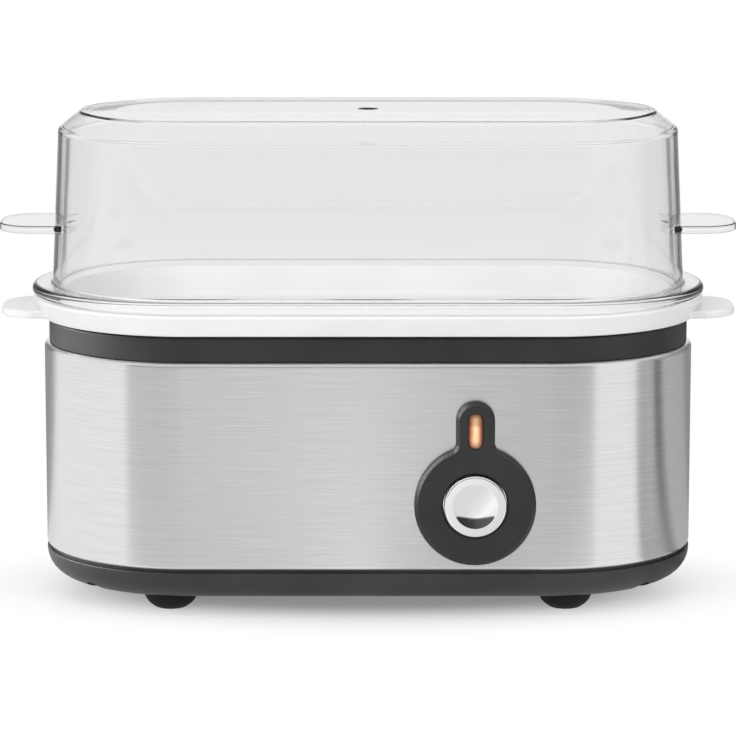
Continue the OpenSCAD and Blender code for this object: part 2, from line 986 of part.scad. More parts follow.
module indicator_lens() {
    wider = 2 * lens_flange;
    color("orange")
        at_dial() {
            window_slot(lens_w, lens_h, -lens_back, bezel_t + lens_proud);
            window_slot(lens_w + wider, lens_h + wider, -lens_back - lens_flange_t, -lens_back);
        }
}

// A glass tube with a domed top, open below round its electrodes
module neon_lamp() {
    lamp_l = lens_h - 2 * lamp_r;
    color([1, 0.6, 0.3])
        at_dial()
            translate([0, lamp_y + lamp_stand, lamp_z])
                rotate([-90, 0, 0])
                    difference() {
                        union() {
                            cylinder(h = lamp_l, r = lamp_r);
                            translate([0, 0, lamp_l])
                                sphere(lamp_r);
                        }
                        translate([0, 0, -over])
                            cylinder(h = lamp_l + over, r = lamp_r - lamp_wall);
                    }
}

module lamp_electrodes() {
    color("goldenrod")
        at_dial()
            for (side = [-1, 1])
                translate([side * electrode_x, lamp_y, 0]) {
                    translate([0, 0, lamp_z])
                        rotate([-90, 0, 0])
                            cylinder(h = lens_h - 3 * lamp_r, r = electrode_r);
                    translate([0, 0, z_carrier - over])
                        cylinder(h = lamp_z - z_carrier + over, r = electrode_r);
                    translate([0, 0, lamp_z])
                        sphere(electrode_r);
                }
}

module switch_carrier() {
    color([0.85, 0.85, 0.8])
        at_dial()
            difference() {
                translate([0, 0, z_carrier])
                    linear_extrude(carrier_t)
                        keyhole(carrier_r, bezel_tab_w);
                translate([0, 0, z_carrier - over])
                    cylinder(h = carrier_t + 2 * over, r = stem_r + press_gap);
                for (x = [-fix_x, fix_x])
                    translate([x, 0, z_carrier - over])
                        cylinder(h = carrier_t + 2 * over, r = fix_r + pin_gap * 2);
                for (side = [-1, 1])
                    translate([side * electrode_x, lamp_y, z_carrier - over])
                        cylinder(h = carrier_t + 2 * over, r = electrode_r + pin_gap);
            }
}

module switch_body() {
    ear_l = fix_x + fix_head_r + fix_margin;
    well_spare = 2;
    well = stem_l + button_travel + well_spare;
    color([0.2, 0.2, 0.22])
        at_dial()
            difference() {
                union() {
                    translate([-switch_w / 2, -switch_h / 2, z_switch])
                        cube([switch_w, switch_h, switch_d]);
                    translate([-ear_l, -switch_ear_h / 2, z_carrier - switch_ear_t])
                        cube([2 * ear_l, switch_ear_h, switch_ear_t]);
                }
                translate([0, 0, cap_floor - well])
                    cylinder(h = well, r = stem_r + press_gap);
                for (x = [-fix_x, fix_x])
                    translate([x, 0, z_carrier - switch_ear_t - over])
                        cylinder(h = switch_ear_t + 2 * over, r = fix_r + pin_gap * 2);
            }
}

module switch_tabs() {
    color("goldenrod")
        at_dial()
            for (side = [-1, 1])
                translate([side * tab_pitch / 2 - spade_t / 2, -spade_w / 2, z_switch - spade_l])
                    cube([spade_t, spade_w, spade_l]);
}

module switch_screws() {
    color("gray")
        at_dial()
            for (x = [-fix_x, fix_x])
                translate([x, 0, z_carrier - switch_ear_t]) {
                    translate([0, 0, -fix_head_h])
                        cylinder(h = fix_head_h, r = fix_head_r);
                    translate([0, 0, -over])
                        cylinder(h = over + switch_ear_t + carrier_t + fix_bite, r = fix_r);
                }
}

// A dished cap with a retaining flange, hollow behind for the spring
module button_cap() {
    cap_radius = button_d / 2;
    flange_top = -bore_lip - press_gap;
    color("gainsboro")
        at_dial()
            difference() {
                rotate_extrude() {
                    translate([0, flange_top - cap_flange_t])
                        square([cap_radius, cap_top - cap_edge - flange_top + cap_flange_t]);
                    square([cap_radius - cap_edge, cap_top]);
                    translate([cap_radius - cap_edge, cap_top - cap_edge])
                        quarter_disc(cap_edge);
                    translate([0, flange_top - cap_flange_t])
                        square([cap_radius + cap_flange, cap_flange_t]);
                }
                translate([0, 0, cap_top - dish_depth + dish_sphere_r])
                    sphere(dish_sphere_r, $fn = 144);
                translate([0, 0, flange_top - cap_flange_t - over])
                    cylinder(h = cap_floor - flange_top + cap_flange_t + over, r = cap_radius - cap_wall);
            }
}

module button_stem() {
    color([0.75, 0.75, 0.72])
        at_dial()
            translate([0, 0, cap_floor - stem_l])
                cylinder(h = stem_l, r = stem_r);
}

// Points of a coil along z, and a tube swept along any list of points
function unit(v) = v / norm(v);
function coil(r, h, turns, steps) =
    [for (i = [0:turns * steps])
        [r * cos(360 * i / steps), r * sin(360 * i / steps), h * i / (turns * steps)]];
function curve_at(p, i, t) =
    let (
        a = p[max(i - 1, 0)],
        b = p[i],
        c = p[i + 1],
        d = p[min(i + 2, len(p) - 1)]
    )
    b + t / 2 * (c - a + t * (2 * a - 5 * b + 4 * c - d + t * (3 * b - a - 3 * c + d)));
function curve(p, steps) =
    concat([for (i = [0:len(p) - 2], k = [0:steps - 1]) curve_at(p, i, k / steps)], [p[len(p) - 1]]);

// Direction of a path at one of its points, and the part of a vector square to a direction
function along(path, i) =
    let (
        last = len(path) - 1,
        k = min(i, last)
    )
    unit(path[min(k + 1, last)] - path[max(k - 1, 0)]);
function square_to(v, t) = unit(v - (v * t) * t);

module tube(path, r, sides, ref) {
    last = len(path) - 1;
    across = [
        for (
            i = 0, u = square_to(ref, along(path, 0));
            i <= last;
            i = i + 1, u = square_to(u, along(path, i))
        )
            u
    ];
    rings = [
        for (i = [0:last], k = [0:sides - 1])
            let (
                u = across[i],
                v = cross(along(path, i), u)
            )
            path[i] + r * (cos(360 * k / sides) * u + sin(360 * k / sides) * v)
    ];
    walls = [
        for (i = [0:last - 1], k = [0:sides - 1])
            let (
                a = i * sides + k,
                b = i * sides + (k + 1) % sides
            )
            each [[a, b + sides, b], [a, a + sides, b + sides]]
    ];
    first_cap = [for (k = [1:sides - 2]) [0, k, k + 1]];
    last_cap = [for (k = [1:sides - 2]) [last * sides, last * sides + k + 1, last * sides + k]];
    polyhedron(points = rings, faces = concat(first_cap, walls, last_cap));
}

module button_spring() {
    room = cap_floor + spigot_d;
    length = room - 2 * spring_wire - 2 * pin_gap;
    color("silver")
        at_dial()
            translate([0, 0, -spigot_d + spring_wire + pin_gap])
                tube(coil(spring_r, length, spring_turns, 12), spring_wire, 6, [0, 0, 1]);
}

module cord_gland() {
    edge = 0.8;
    color([0.1, 0.1, 0.1])
        at_gland()
            difference() {
                rotate_extrude() {
                    square([gland_flange_r - edge, gland_flange_t]);
                    square([gland_flange_r, gland_flange_t - edge]);
                    translate([gland_flange_r - edge, gland_flange_t - edge])
                        quarter_disc(edge);
                    translate([0, -gland_body_l])
                        square([gland_body_r, gland_body_l]);
                }
                translate([0, 0, -gland_body_l - over])
                    cylinder(h = gland_body_l + gland_flange_t + 2 * over, d = gland_bore);
            }
}

module gland_nut() {
    color([0.14, 0.14, 0.14])
        at_gland()
            translate([0, 0, -band_t - pin_gap - gland_nut_t])
                difference() {
                    cylinder(h = gland_nut_t, r = gland_nut_r, $fn = 6);
                    translate([0, 0, -over])
                        cylinder(h = gland_nut_t + 2 * over, r = gland_body_r + pin_gap);
                }
}

module terminal_block() {
    color("ivory")
        difference() {
            translate([gland_x - block_w / 2, block_y, z_block])
                cube([block_w, block_d, block_h]);
            translate([gland_x, block_mid, z_block - over])
                cylinder(h = block_h + 2 * over, r = fix_r + pin_gap * 2);
            for (i = [-1, 0, 1])
                translate([gland_x + i * port_pitch, block_y + port_in, z_block + block_h - port_depth])
                    cylinder(h = port_depth + over, r = port_r);
        }
}

module block_screw() {
    color("gray")
        translate([gland_x, block_mid, z_block + block_h]) {
            cylinder(h = fix_head_h, r = fix_head_r);
            translate([0, 0, -block_h - block_bite])
                cylinder(h = block_h + block_bite + over, r = fix_r);
        }
}

// Ends of the leads, on the pieces that they join
switch_end = [dial_x, -end_r - z_switch + spade_l + pin_gap * 2, dial_z];
stat_end = [0, 0, z_stat_tab - pin_gap * 2];
pin_end = [0, loop_r, z_pin - pin_gap * 2];
fuse_end = [fuse_x, fuse_l / 2 + fuse_wire_l + fuse_gap, z_fuse];
block_end = [gland_x, block_y - pin_gap * 4, block_port_z];
stud_end = [-clamp_x, 0, z_stud - pin_gap * 2];
lamp_end = [dial_x, -end_r - z_carrier + over + pin_gap * 2, dial_z + lamp_y];

// Bends are steps of the lead's grid, counted from the end where it leaves and the end where it arrives
module lead(from, leaving, arriving, to, r = lead_r) {
    points = concat(
        [from],
        [for (p = leaving) from + lead_step * p],
        [for (p = arriving) to + lead_step * p],
        [to]
    );
    tube(curve(points, 3), r, 8, [1, 0, 0]);
}

module live_lead() {
    from = block_end + [-port_pitch, 0, 0];
    to = switch_end + [-tab_pitch / 2, 0, 0];
    color("saddlebrown")
        lead(from, [[0, -5, 0], [14, -16, 1], [41, -19.6, 3]], [[-8, 8, -8], [0, 6, 0]], to);
}

module switched_lead() {
    from = switch_end + [tab_pitch / 2, 0, 0];
    to = stat_end + [stat_tab_x, 0, 0];
    color("saddlebrown")
        lead(from, [[0, 4, 0], [-5, 11, 3]], [[10, 2, -6], [1, 0, -4]], to);
}

module fuse_lead() {
    from = stat_end + [-stat_tab_x, 0, 0];
    to = [fuse_end[0], -fuse_end[1], fuse_end[2]];
    color("ivory")
        lead(from, [[0, 0, -4], [-5, -3, -8], [-14, -9, -2]], [[1.5, -fuse_bend, -6.5], [0, -2.2, -1]], to);
}

module element_lead() {
    to = pin_end + [-pin_x, 0, 0];
    color("ivory")
        lead(fuse_end, [[0, 2.2, -1], [0.5, fuse_bend, -6.5]], [[-10, -5, 2], [-4.5, -2, -8], [0, 0, -5]], to);
}

module neutral_lead() {
    to = pin_end + [pin_x, 0, 0];
    color("steelblue")
        lead(block_end, [[0, -4, 0], [14, -8, 1]], [[-12, -8, -10], [-1, 0, -7]], to);
}

module earth_lead() {
    from = block_end + [port_pitch, 0, 0];
    color("yellowgreen")
        lead(from, [[0, -3, 0], [-3, -9, 5]], [[4, 3, -14], [0, 0, -6]], stud_end);
}

module lamp_leads() {
    color("tomato")
        for (side = [-1, 1]) {
            from = lamp_end + [side * electrode_x, 0, 0];
            to = switch_end + [side * (tab_pitch / 2 + lead_r), -spade_l / 2, spade_w / 2];
            lead(from, [[side, 3, 0], [side * 3, 10, -4]], [[side * 2, 0, 4]], to, electrode_r);
        }
}

lid();
egg_tray();
top_collar();
steel_band();
base_shell();
foot(-1, -1);  // foot_front_left
foot(1, -1);  // foot_front_right
foot(-1, 1);  // foot_rear_left
foot(1, 1);  // foot_rear_right
base_screws();
heating_pan();
pan_seal();
heat_spreader();
heating_element();
terminal_insulators();
terminal_pins();
pan_studs();
clamp_bridge(-1);  // clamp_bridge_left
clamp_bridge(1);  // clamp_bridge_right
clamp_nuts();
thermostat();
thermostat_tabs();
thermostat_screws();
thermal_fuse();
fuse_clip();
fuse_screw();
control_bezel();
indicator_lens();
neon_lamp();
lamp_electrodes();
switch_carrier();
switch_body();
switch_tabs();
switch_screws();
button_cap();
button_stem();
button_spring();
cord_gland();
gland_nut();
terminal_block();
block_screw();
live_lead();
switched_lead();
fuse_lead();
element_lead();
neutral_lead();
earth_lead();
lamp_leads();
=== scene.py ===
import json
import math

import bpy
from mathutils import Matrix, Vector


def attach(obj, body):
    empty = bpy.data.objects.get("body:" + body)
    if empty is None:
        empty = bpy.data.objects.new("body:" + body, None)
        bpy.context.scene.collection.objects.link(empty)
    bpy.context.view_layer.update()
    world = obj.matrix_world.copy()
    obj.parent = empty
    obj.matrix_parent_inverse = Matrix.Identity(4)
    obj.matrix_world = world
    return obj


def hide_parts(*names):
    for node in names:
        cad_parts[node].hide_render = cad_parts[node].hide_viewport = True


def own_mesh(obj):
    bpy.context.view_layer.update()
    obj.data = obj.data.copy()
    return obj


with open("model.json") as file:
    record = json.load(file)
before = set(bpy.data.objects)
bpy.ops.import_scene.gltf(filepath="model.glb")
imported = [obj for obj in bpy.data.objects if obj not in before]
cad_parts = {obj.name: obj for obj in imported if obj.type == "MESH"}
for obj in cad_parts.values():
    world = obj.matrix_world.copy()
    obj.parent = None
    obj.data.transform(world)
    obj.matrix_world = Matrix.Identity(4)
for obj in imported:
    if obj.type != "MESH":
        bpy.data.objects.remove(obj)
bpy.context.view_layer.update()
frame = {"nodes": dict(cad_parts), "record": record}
nodes = frame["nodes"]

mm = 0.001
plan = {"half": 51.0, "end": 43.0, "steps": 48}  # half the straight side, radius and facets of an end
near = {"point": 1e-7, "level": 1e-6, "weld": 2e-6}  # metres within which two places count as one
quarters = [(sx, sy) for sx in (-1, 1) for sy in (-1, 1)]


# selecting and drawing

def deselect():
    if bpy.context.mode != "OBJECT":
        bpy.ops.object.mode_set(mode="OBJECT")
    bpy.ops.object.select_all(action="DESELECT")


def focus(piece):
    deselect()
    piece.select_set(True)
    bpy.context.view_layer.objects.active = piece


def clearPicks(piece):
    bpy.ops.object.mode_set(mode="OBJECT")
    for group in (piece.data.polygons, piece.data.edges, piece.data.vertices):
        for item in group:
            item.select = False


def pickCorner(piece, corner):
    # the point that stands at a drawn corner
    clearPicks(piece)
    for point in piece.data.vertices:
        point.select = (point.co - corner).length < near["weld"]
    bpy.ops.object.mode_set(mode="EDIT")
    bpy.ops.mesh.select_mode(type="VERT")


def pickRing(piece, depth, reach=near["level"]):
    # the edges that lie at one depth along Y
    clearPicks(piece)
    points = piece.data.vertices
    for edge in piece.data.edges:
        edge.select = all(abs(points[index].co.y - depth) < reach for index in edge.vertices)
    bpy.ops.object.mode_set(mode="EDIT")
    bpy.ops.mesh.select_mode(type="EDGE")


def drawWire(name, places, rounds=(), closed=True, segments=6):
    # one point is extruded from corner to corner, then the listed corners are rounded
    deselect()
    bpy.ops.mesh.primitive_plane_add(size=10 * mm)
    wire = bpy.context.object
    wire.name = wire.data.name = name
    bpy.ops.object.mode_set(mode="EDIT")
    bpy.ops.mesh.select_mode(type="VERT")
    bpy.ops.mesh.select_all(action="SELECT")
    bpy.ops.mesh.merge(type="CENTER")
    bpy.ops.transform.translate(value=places[0])
    route = places + places[:1] if closed else places
    for here, there in zip(route, route[1:]):
        step = [b - a for a, b in zip(here, there)]
        bpy.ops.mesh.extrude_region_move(TRANSFORM_OT_translate={"value": step})
    bpy.ops.mesh.select_all(action="SELECT")
    bpy.ops.mesh.remove_doubles(threshold=near["point"])
    for index, size in rounds:
        pickCorner(wire, Vector(places[index]))
        bpy.ops.mesh.bevel(offset=size * mm, segments=segments, affect="VERTICES", clamp_overlap=False)
    return wire


def closeShape():
    # points on one spot are merged, faces are turned outwards
    bpy.ops.mesh.select_all(action="SELECT")
    bpy.ops.mesh.remove_doubles(threshold=near["weld"])
    bpy.ops.mesh.dissolve_degenerate(threshold=near["weld"])
    bpy.ops.mesh.select_all(action="SELECT")
    bpy.ops.mesh.normals_make_consistent(inside=False)
    bpy.ops.object.mode_set(mode="OBJECT")


def sweepRound(name, section, rounds=(), closed=True, segments=6):
    # a section of radius and height goes round the body's plan: end, back, end, front
    half = plan["half"] * mm
    piece = drawWire(name, [(half, -r * mm, z * mm) for r, z in section], rounds, closed, segments)
    bpy.ops.mesh.select_all(action="SELECT")
    for side in (1, -1):
        bpy.ops.mesh.spin(steps=plan["steps"], angle=-math.pi, center=(side * half, 0, 0), axis=(0, 0, 1))
        bpy.ops.mesh.extrude_region_move(TRANSFORM_OT_translate={"value": (-side * 2 * half, 0, 0)})
    closeShape()
    return piece


def spinOnce(name, places, centre, axis, rounds, steps):
    piece = drawWire(name, places, rounds, closed=False, segments=5)
    bpy.ops.mesh.select_all(action="SELECT")
    bpy.ops.mesh.spin(steps=steps, angle=math.tau, center=centre, axis=axis)
    closeShape()
    return piece


def spinUpright(name, section, x, y, rounds=(), steps=32):
    # a section of radius and height turns once round an upright axis
    places = [((x + r) * mm, y * mm, z * mm) for r, z in section]
    return spinOnce(name, places, (x * mm, y * mm, 0), (0, 0, 1), rounds, steps)


def spinForward(name, section, centre, facing, rounds=(), steps=64):
    # a section of radius and depth turns round an axis along Y; facing is -1 at the front, 1 at the back
    x, y, z = centre
    places = [((x + r) * mm, (y + facing * d) * mm, z * mm) for r, d in section]
    return spinOnce(name, places, (x * mm, y * mm, z * mm), (0, 1, 0), rounds, steps)


def raiseOutline(name, outline, lift, rounds=(), segments=8):
    # a closed flat outline becomes a face, and the face is extruded by lift
    piece = drawWire(name, outline, rounds, closed=True, segments=segments)
    bpy.ops.mesh.select_all(action="SELECT")
    bpy.ops.mesh.edge_face_add()
    bpy.ops.mesh.extrude_region_move(TRANSFORM_OT_translate={"value": [v * mm for v in lift]})
    closeShape()
    return piece


def combine(piece, tool, operation):
    focus(piece)
    shape = piece.modifiers.new("combine", "BOOLEAN")
    shape.operation = operation
    shape.solver = "EXACT"
    shape.object = tool
    bpy.ops.object.modifier_apply(modifier=shape.name)
    bpy.data.objects.remove(tool, do_unlink=True)
    bpy.ops.object.mode_set(mode="EDIT")
    closeShape()


def joinAll(pieces):
    deselect()
    for piece in pieces:
        piece.select_set(True)
    bpy.context.view_layer.objects.active = pieces[0]
    bpy.ops.object.join()
    return pieces[0]


def settle(piece, body, finish, node, angle=32):
    # place and shading are applied, then the piece takes its finish and body, and the CAD node it stands
    # for is hidden
    focus(piece)
    bpy.ops.object.transform_apply(location=True, rotation=True, scale=True)
    bpy.ops.object.shade_smooth_by_angle(angle=math.radians(angle))
    flats = piece.modifiers.new("flats", "WEIGHTED_NORMAL")
    flats.keep_sharp = True
    flats.weight = 90
    bpy.ops.object.modifier_apply(modifier=flats.name)
    piece.data.materials.clear()
    piece.data.materials.append(finishes[finish])
    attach(piece, body)
    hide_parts(node)


# nodes that the finishes share

noiseSpan = (0.25, 0.75)  # nearly all of a noise lies between these


def tone(level):
    return (level, level, level)


def setInputs(node, values):
    for label, value in values.items():
        node.inputs[label].default_value = value


def addNode(tree, kind, values=None):
    node = tree.nodes.new("ShaderNode" + kind)
    setInputs(node, values or {})
    return node


def newFinish(name):
    finish = bpy.data.materials.new(name)
    finish.use_nodes = True
    tree = finish.node_tree
    return finish, tree, tree.nodes["Principled BSDF"], addNode(tree, "TexCoord").outputs


def addNoise(tree, coords, scale, stretch=(1, 1, 1), detail=3.0, roughness=0.5):
    mapping = addNode(tree, "Mapping", {"Scale": stretch})
    noise = addNode(tree, "TexNoise", {"Scale": scale, "Detail": detail, "Roughness": roughness})
    tree.links.new(coords["Object"], mapping.inputs["Vector"])
    tree.links.new(mapping.outputs["Vector"], noise.inputs["Vector"])
    return noise.outputs["Fac"]


def addRamp(tree, source, stops):
    ramp = addNode(tree, "ValToRGB")
    marks = ramp.color_ramp.elements
    marks[0].position, marks[1].position = stops[0][0], stops[-1][0]
    marks[0].color, marks[1].color = (*stops[0][1], 1), (*stops[-1][1], 1)
    for place, colour in stops[1:-1]:
        marks.new(place).color = (*colour, 1)
    tree.links.new(source, ramp.inputs["Fac"])
    return ramp.outputs["Color"]


def addRange(tree, source, low, high, span=noiseSpan, smooth=False):
    values = {"From Min": span[0], "From Max": span[1], "To Min": low, "To Max": high}
    spread = addNode(tree, "MapRange", values)
    if smooth:
        spread.interpolation_type = "SMOOTHSTEP"
    tree.links.new(source, spread.inputs["Value"])
    return spread.outputs["Result"]


def addMath(tree, operation, first, second=None):
    # the second value is another node's result or a plain number
    step = addNode(tree, "Math")
    step.operation = operation
    tree.links.new(first, step.inputs[0])
    if isinstance(second, float):
        step.inputs[1].default_value = second
    elif second is not None:
        tree.links.new(second, step.inputs[1])
    return step.outputs["Value"]


def addSplit(tree, source):
    split = addNode(tree, "SeparateXYZ")
    tree.links.new(source, split.inputs["Vector"])
    return split.outputs


def addBump(tree, shader, source, strength, depth):
    bump = addNode(tree, "Bump", {"Strength": strength, "Distance": depth})
    tree.links.new(source, bump.inputs["Height"])
    tree.links.new(bump.outputs["Normal"], shader.inputs["Normal"])


# moulded and plain metal finishes: broad tone patches, a fine grain in the gloss and the relief

mouldedLook = {"patch": 45, "patchDetail": 2.0, "patchSpan": (0.35, 0.65), "depth": 0.0001}
# darker and lighter tone, least and most roughness, grain, relief, metal, stretch of the grain
looks = {
    "whiteTray": ((0.79, 0.79, 0.78), (0.83, 0.83, 0.82), (0.28, 0.4), 1800, 0.06, 0.0),
    "greyMoulding": ((0.014, 0.014, 0.0145), (0.02, 0.02, 0.0205), (0.38, 0.55), 2400, 0.22, 0.0),
    # painted light: the collar's grey plastic made lighter for the base, making up for the shade the base
    # sits in
    "greyMouldingPaintedLighter": ((0.021, 0.021, 0.0215), (0.029, 0.029, 0.0295), (0.36, 0.52), 2400, 0.22, 0.0),
    "bezelMoulding": ((0.012, 0.012, 0.0125), (0.018, 0.018, 0.0185), (0.28, 0.44), 2200, 0.35, 0.0),
    "footRubber": (tone(0.004), tone(0.008), (0.55, 0.75), 1500, 0.3, 0.0),
    "buttonChrome": ((0.92, 0.92, 0.93), tone(0.95), (0.05, 0.1), 700, 0.02, 1.0),
    "panSteel": (tone(0.5), (0.6, 0.6, 0.595), (0.22, 0.38), 60, 0.05, 1.0, (1, 30, 30)),
    "glandMoulding": (tone(0.016), tone(0.024), (0.4, 0.6), 2200, 0.2, 0.0),
    "springWire": ((0.5, 0.5, 0.52), (0.62, 0.62, 0.64), (0.2, 0.32), 600, 0.05, 1.0),
    "platedSteel": ((0.42, 0.43, 0.45), (0.55, 0.56, 0.58), (0.22, 0.4), 400, 0.06, 1.0),
    "redSilicone": ((0.46, 0.11, 0.08), (0.56, 0.15, 0.11), (0.5, 0.7), 1400, 0.15, 0.0),
    "castAluminium": ((0.62, 0.62, 0.63), (0.72, 0.72, 0.73), (0.3, 0.5), 500, 0.15, 1.0),
    "sheathMetal": ((0.1, 0.1, 0.105), (0.2, 0.19, 0.19), (0.35, 0.6), 300, 0.1, 1.0),
    "ceramicBody": ((0.74, 0.71, 0.64), (0.84, 0.82, 0.76), (0.4, 0.6), 900, 0.1, 0.0),
    "brassTerminal": ((0.58, 0.43, 0.18), (0.7, 0.53, 0.26), (0.22, 0.38), 500, 0.05, 1.0),
    "phenolicCase": ((0.03, 0.025, 0.022), (0.055, 0.047, 0.042), (0.4, 0.6), 1200, 0.15, 0.0),
    "holderPlastic": ((0.62, 0.6, 0.54), (0.72, 0.7, 0.64), (0.4, 0.55), 1500, 0.1, 0.0),
    "lampGlass": ((0.9, 0.32, 0.1), (1.0, 0.42, 0.15), (0.05, 0.12), 500, 0.03, 0.0),
    "brownWire": ((0.13, 0.055, 0.028), (0.19, 0.08, 0.04), (0.35, 0.5), 900, 0.08, 0.0),
    "whiteWire": ((0.7, 0.68, 0.64), (0.8, 0.78, 0.74), (0.35, 0.5), 900, 0.08, 0.0),
    "blueWire": ((0.03, 0.1, 0.36), (0.05, 0.15, 0.46), (0.35, 0.5), 900, 0.08, 0.0),
    "greenWire": ((0.2, 0.36, 0.05), (0.3, 0.48, 0.08), (0.35, 0.5), 900, 0.08, 0.0),
    "redWire": ((0.42, 0.03, 0.025), (0.55, 0.05, 0.04), (0.35, 0.5), 900, 0.08, 0.0),
}
shaderExtras = {
    "footRubber": {"Specular IOR Level": 0.25},
    "lampGlass": {"Emission Color": (1.0, 0.2, 0.03, 1), "Emission Strength": 0.6},
}


def mouldedFinish(name, dark, light, gloss, grain, relief, metal, stretch=(1, 1, 1)):
    finish, tree, shader, coords = newFinish(name)
    broad = addNoise(tree, coords, mouldedLook["patch"], detail=mouldedLook["patchDetail"])
    patches = addRamp(tree, broad, list(zip(mouldedLook["patchSpan"], (dark, light))))
    tree.links.new(patches, shader.inputs["Base Color"])
    fine = addNoise(tree, coords, grain, stretch)
    tree.links.new(addRange(tree, fine, *gloss), shader.inputs["Roughness"])
    addBump(tree, shader, fine, relief, mouldedLook["depth"])
    setInputs(shader, {"Metallic": metal, **shaderExtras.get(name, {})})
    return finish


# brushed steel: long level streaks in tone, gloss and relief

steelLook = {
    "streaks": (45, 45, 3600), "streakDetail": 5.0, "streakRoughness": 0.65, "gloss": (0.23, 0.28),
    "tones": [(0.3, tone(0.75)), (0.7, (0.91, 0.91, 0.905))],
    "lines": (110, 110, 9000), "lineDetail": 2.0, "relief": (0.05, 0.00004),
    "shader": {"Metallic": 1.0, "Anisotropic": 1.0, "Anisotropic Rotation": 0.25},
}


def steelFinish():
    finish, tree, shader, coords = newFinish("brushedSteel")
    streaks = addNoise(
        tree, coords, 1.0, steelLook["streaks"], steelLook["streakDetail"], steelLook["streakRoughness"])
    lines = addNoise(tree, coords, 1.0, steelLook["lines"], steelLook["lineDetail"])
    tree.links.new(addRamp(tree, streaks, steelLook["tones"]), shader.inputs["Base Color"])
    tree.links.new(addRange(tree, streaks, *steelLook["gloss"]), shader.inputs["Roughness"])
    addBump(tree, shader, lines, *steelLook["relief"])
    setInputs(shader, steelLook["shader"])
    return finish


# clear plastic with a faint ripple; painted shade: upright walls are darkened in colour where they are seen
# along their thickness, standing in for their dark edges

lidLook = {
    "ripple": 30, "gloss": (0.0, 0.02), "relief": (0.03, 0.0004), "waver": (-0.02, 0.02), "facing": 0.5,
    "upright": [(0.15, tone(1)), (0.4, tone(0))],
    "ends": [(0.1, tone(0.7)), (0.5, tone(1))],
    "rim": (0.72, 1.0), "rimHeights": (0.091, 0.096),  # the rim stays lighter than the wall
    # a faint tint of the plastic face-on, then the painted dark edge at grazing angles
    "tintAndEdgeShade": [
        (0.05, (0.978, 0.98, 0.98)), (0.28, (0.97, 0.972, 0.972)), (0.42, (0.89, 0.895, 0.895)),
        (0.62, (0.88, 0.885, 0.885)), (0.7, tone(0.8)), (0.75, tone(0.04)), (0.84, tone(0.04)),
        (0.9, tone(0.5)), (1.0, tone(0.8)),
    ],
    "shader": {"IOR": 1.46, "Transmission Weight": 1.0},
}


def lidFinish():
    finish, tree, shader, coords = newFinish("clearPlastic")
    ripple = addNoise(tree, coords, lidLook["ripple"], detail=1.0)
    tree.links.new(addRange(tree, ripple, *lidLook["gloss"]), shader.inputs["Roughness"])
    addBump(tree, shader, ripple, *lidLook["relief"])
    slant = addSplit(tree, coords["Normal"])
    height = addSplit(tree, coords["Object"])["Z"]
    shares = [
        addRamp(tree, addMath(tree, "ABSOLUTE", slant["Z"]), lidLook["upright"]),
        addRamp(tree, addMath(tree, "ABSOLUTE", slant["X"]), lidLook["ends"]),
        addRange(tree, height, *lidLook["rim"], lidLook["rimHeights"]),
    ]
    # painted shade: the colour darkens with the viewing angle on upright walls, weaker on the rim and on
    # the flat front and back walls
    along = addNode(tree, "LayerWeight", {"Blend": lidLook["facing"]}).outputs["Facing"]
    for share in shares:
        along = addMath(tree, "MULTIPLY", along, share)
    along = addMath(tree, "ADD", along, addRange(tree, ripple, *lidLook["waver"]))
    tree.links.new(addRamp(tree, along, lidLook["tintAndEdgeShade"]), shader.inputs["Base Color"])
    setInputs(shader, lidLook["shader"])
    return finish


# amber window with a painted glow: the lens itself emits light in place of the lamp's bar behind it,
# brightest along the bar and dim towards its ends

lensSize = {
    "x": 30.2, "z": 54.25, "width": 4.2, "height": 10.3, "front": -45.5, "back": -41.5,
    "dome": 0.9, "domeSteps": 6, "arcSteps": 16,
    # growth of the outline, depth it starts at, length
    "cut": (0.1, -48.0, 20.0), "seat": (0.7, -41.6, 12.0), "flange": (0.6, -41.5, 1.2),
}
lensLook = {
    "across": [
        (0.0, (1.0, 0.68, 0.46)), (0.15, (1.0, 0.62, 0.38)), (0.35, (0.82, 0.41, 0.18)),
        (0.6, (0.45, 0.17, 0.07)), (0.8, (0.12, 0.04, 0.02)), (1.0, (0.035, 0.013, 0.01)),
    ],
    "upward": [
        (0.03, tone(0.05)), (0.12, tone(0.45)), (0.25, tone(1.0)), (0.6, tone(1.0)),
        (0.68, tone(0.62)), (0.86, tone(0.5)), (0.97, tone(0.05)),
    ],
    "mottle": 1500, "mottleStretch": (1, 1, 0.4), "mottleRange": (0.95, 1.4),
    "body": [(0.3, (0.03, 0.012, 0.008)), (0.7, (0.06, 0.02, 0.012))],
    "shader": {"Roughness": 0.15},
}


def lensFinish():
    finish, tree, shader, coords = newFinish("amberLensPaintedGlow")
    foot = (lensSize["x"] * mm, 0, (lensSize["z"] - lensSize["height"] / 2) * mm)
    reach = (lensSize["width"] / 2 * mm, 1, lensSize["height"] * mm)
    centre = addNode(tree, "Mapping", {"Location": foot, "Scale": reach})
    centre.vector_type = "TEXTURE"
    tree.links.new(coords["Object"], centre.inputs["Vector"])
    place = addSplit(tree, centre.outputs["Vector"])
    # painted glow: emission colour bright at the middle of the window and dark at its sides
    glow = addRamp(tree, addMath(tree, "ABSOLUTE", place["X"]), lensLook["across"])
    tree.links.new(glow, shader.inputs["Emission Color"])
    mottle = addNoise(tree, coords, lensLook["mottle"], lensLook["mottleStretch"])
    # painted glow: strength fades towards both ends of the window and is streaked by the mottle
    upward = addRamp(tree, place["Z"], lensLook["upward"])
    strength = addMath(tree, "MULTIPLY", upward, addRange(tree, mottle, *lensLook["mottleRange"]))
    tree.links.new(strength, shader.inputs["Emission Strength"])
    tree.links.new(addRamp(tree, mottle, lensLook["body"]), shader.inputs["Base Color"])
    setInputs(shader, lensLook["shader"])
    return finish


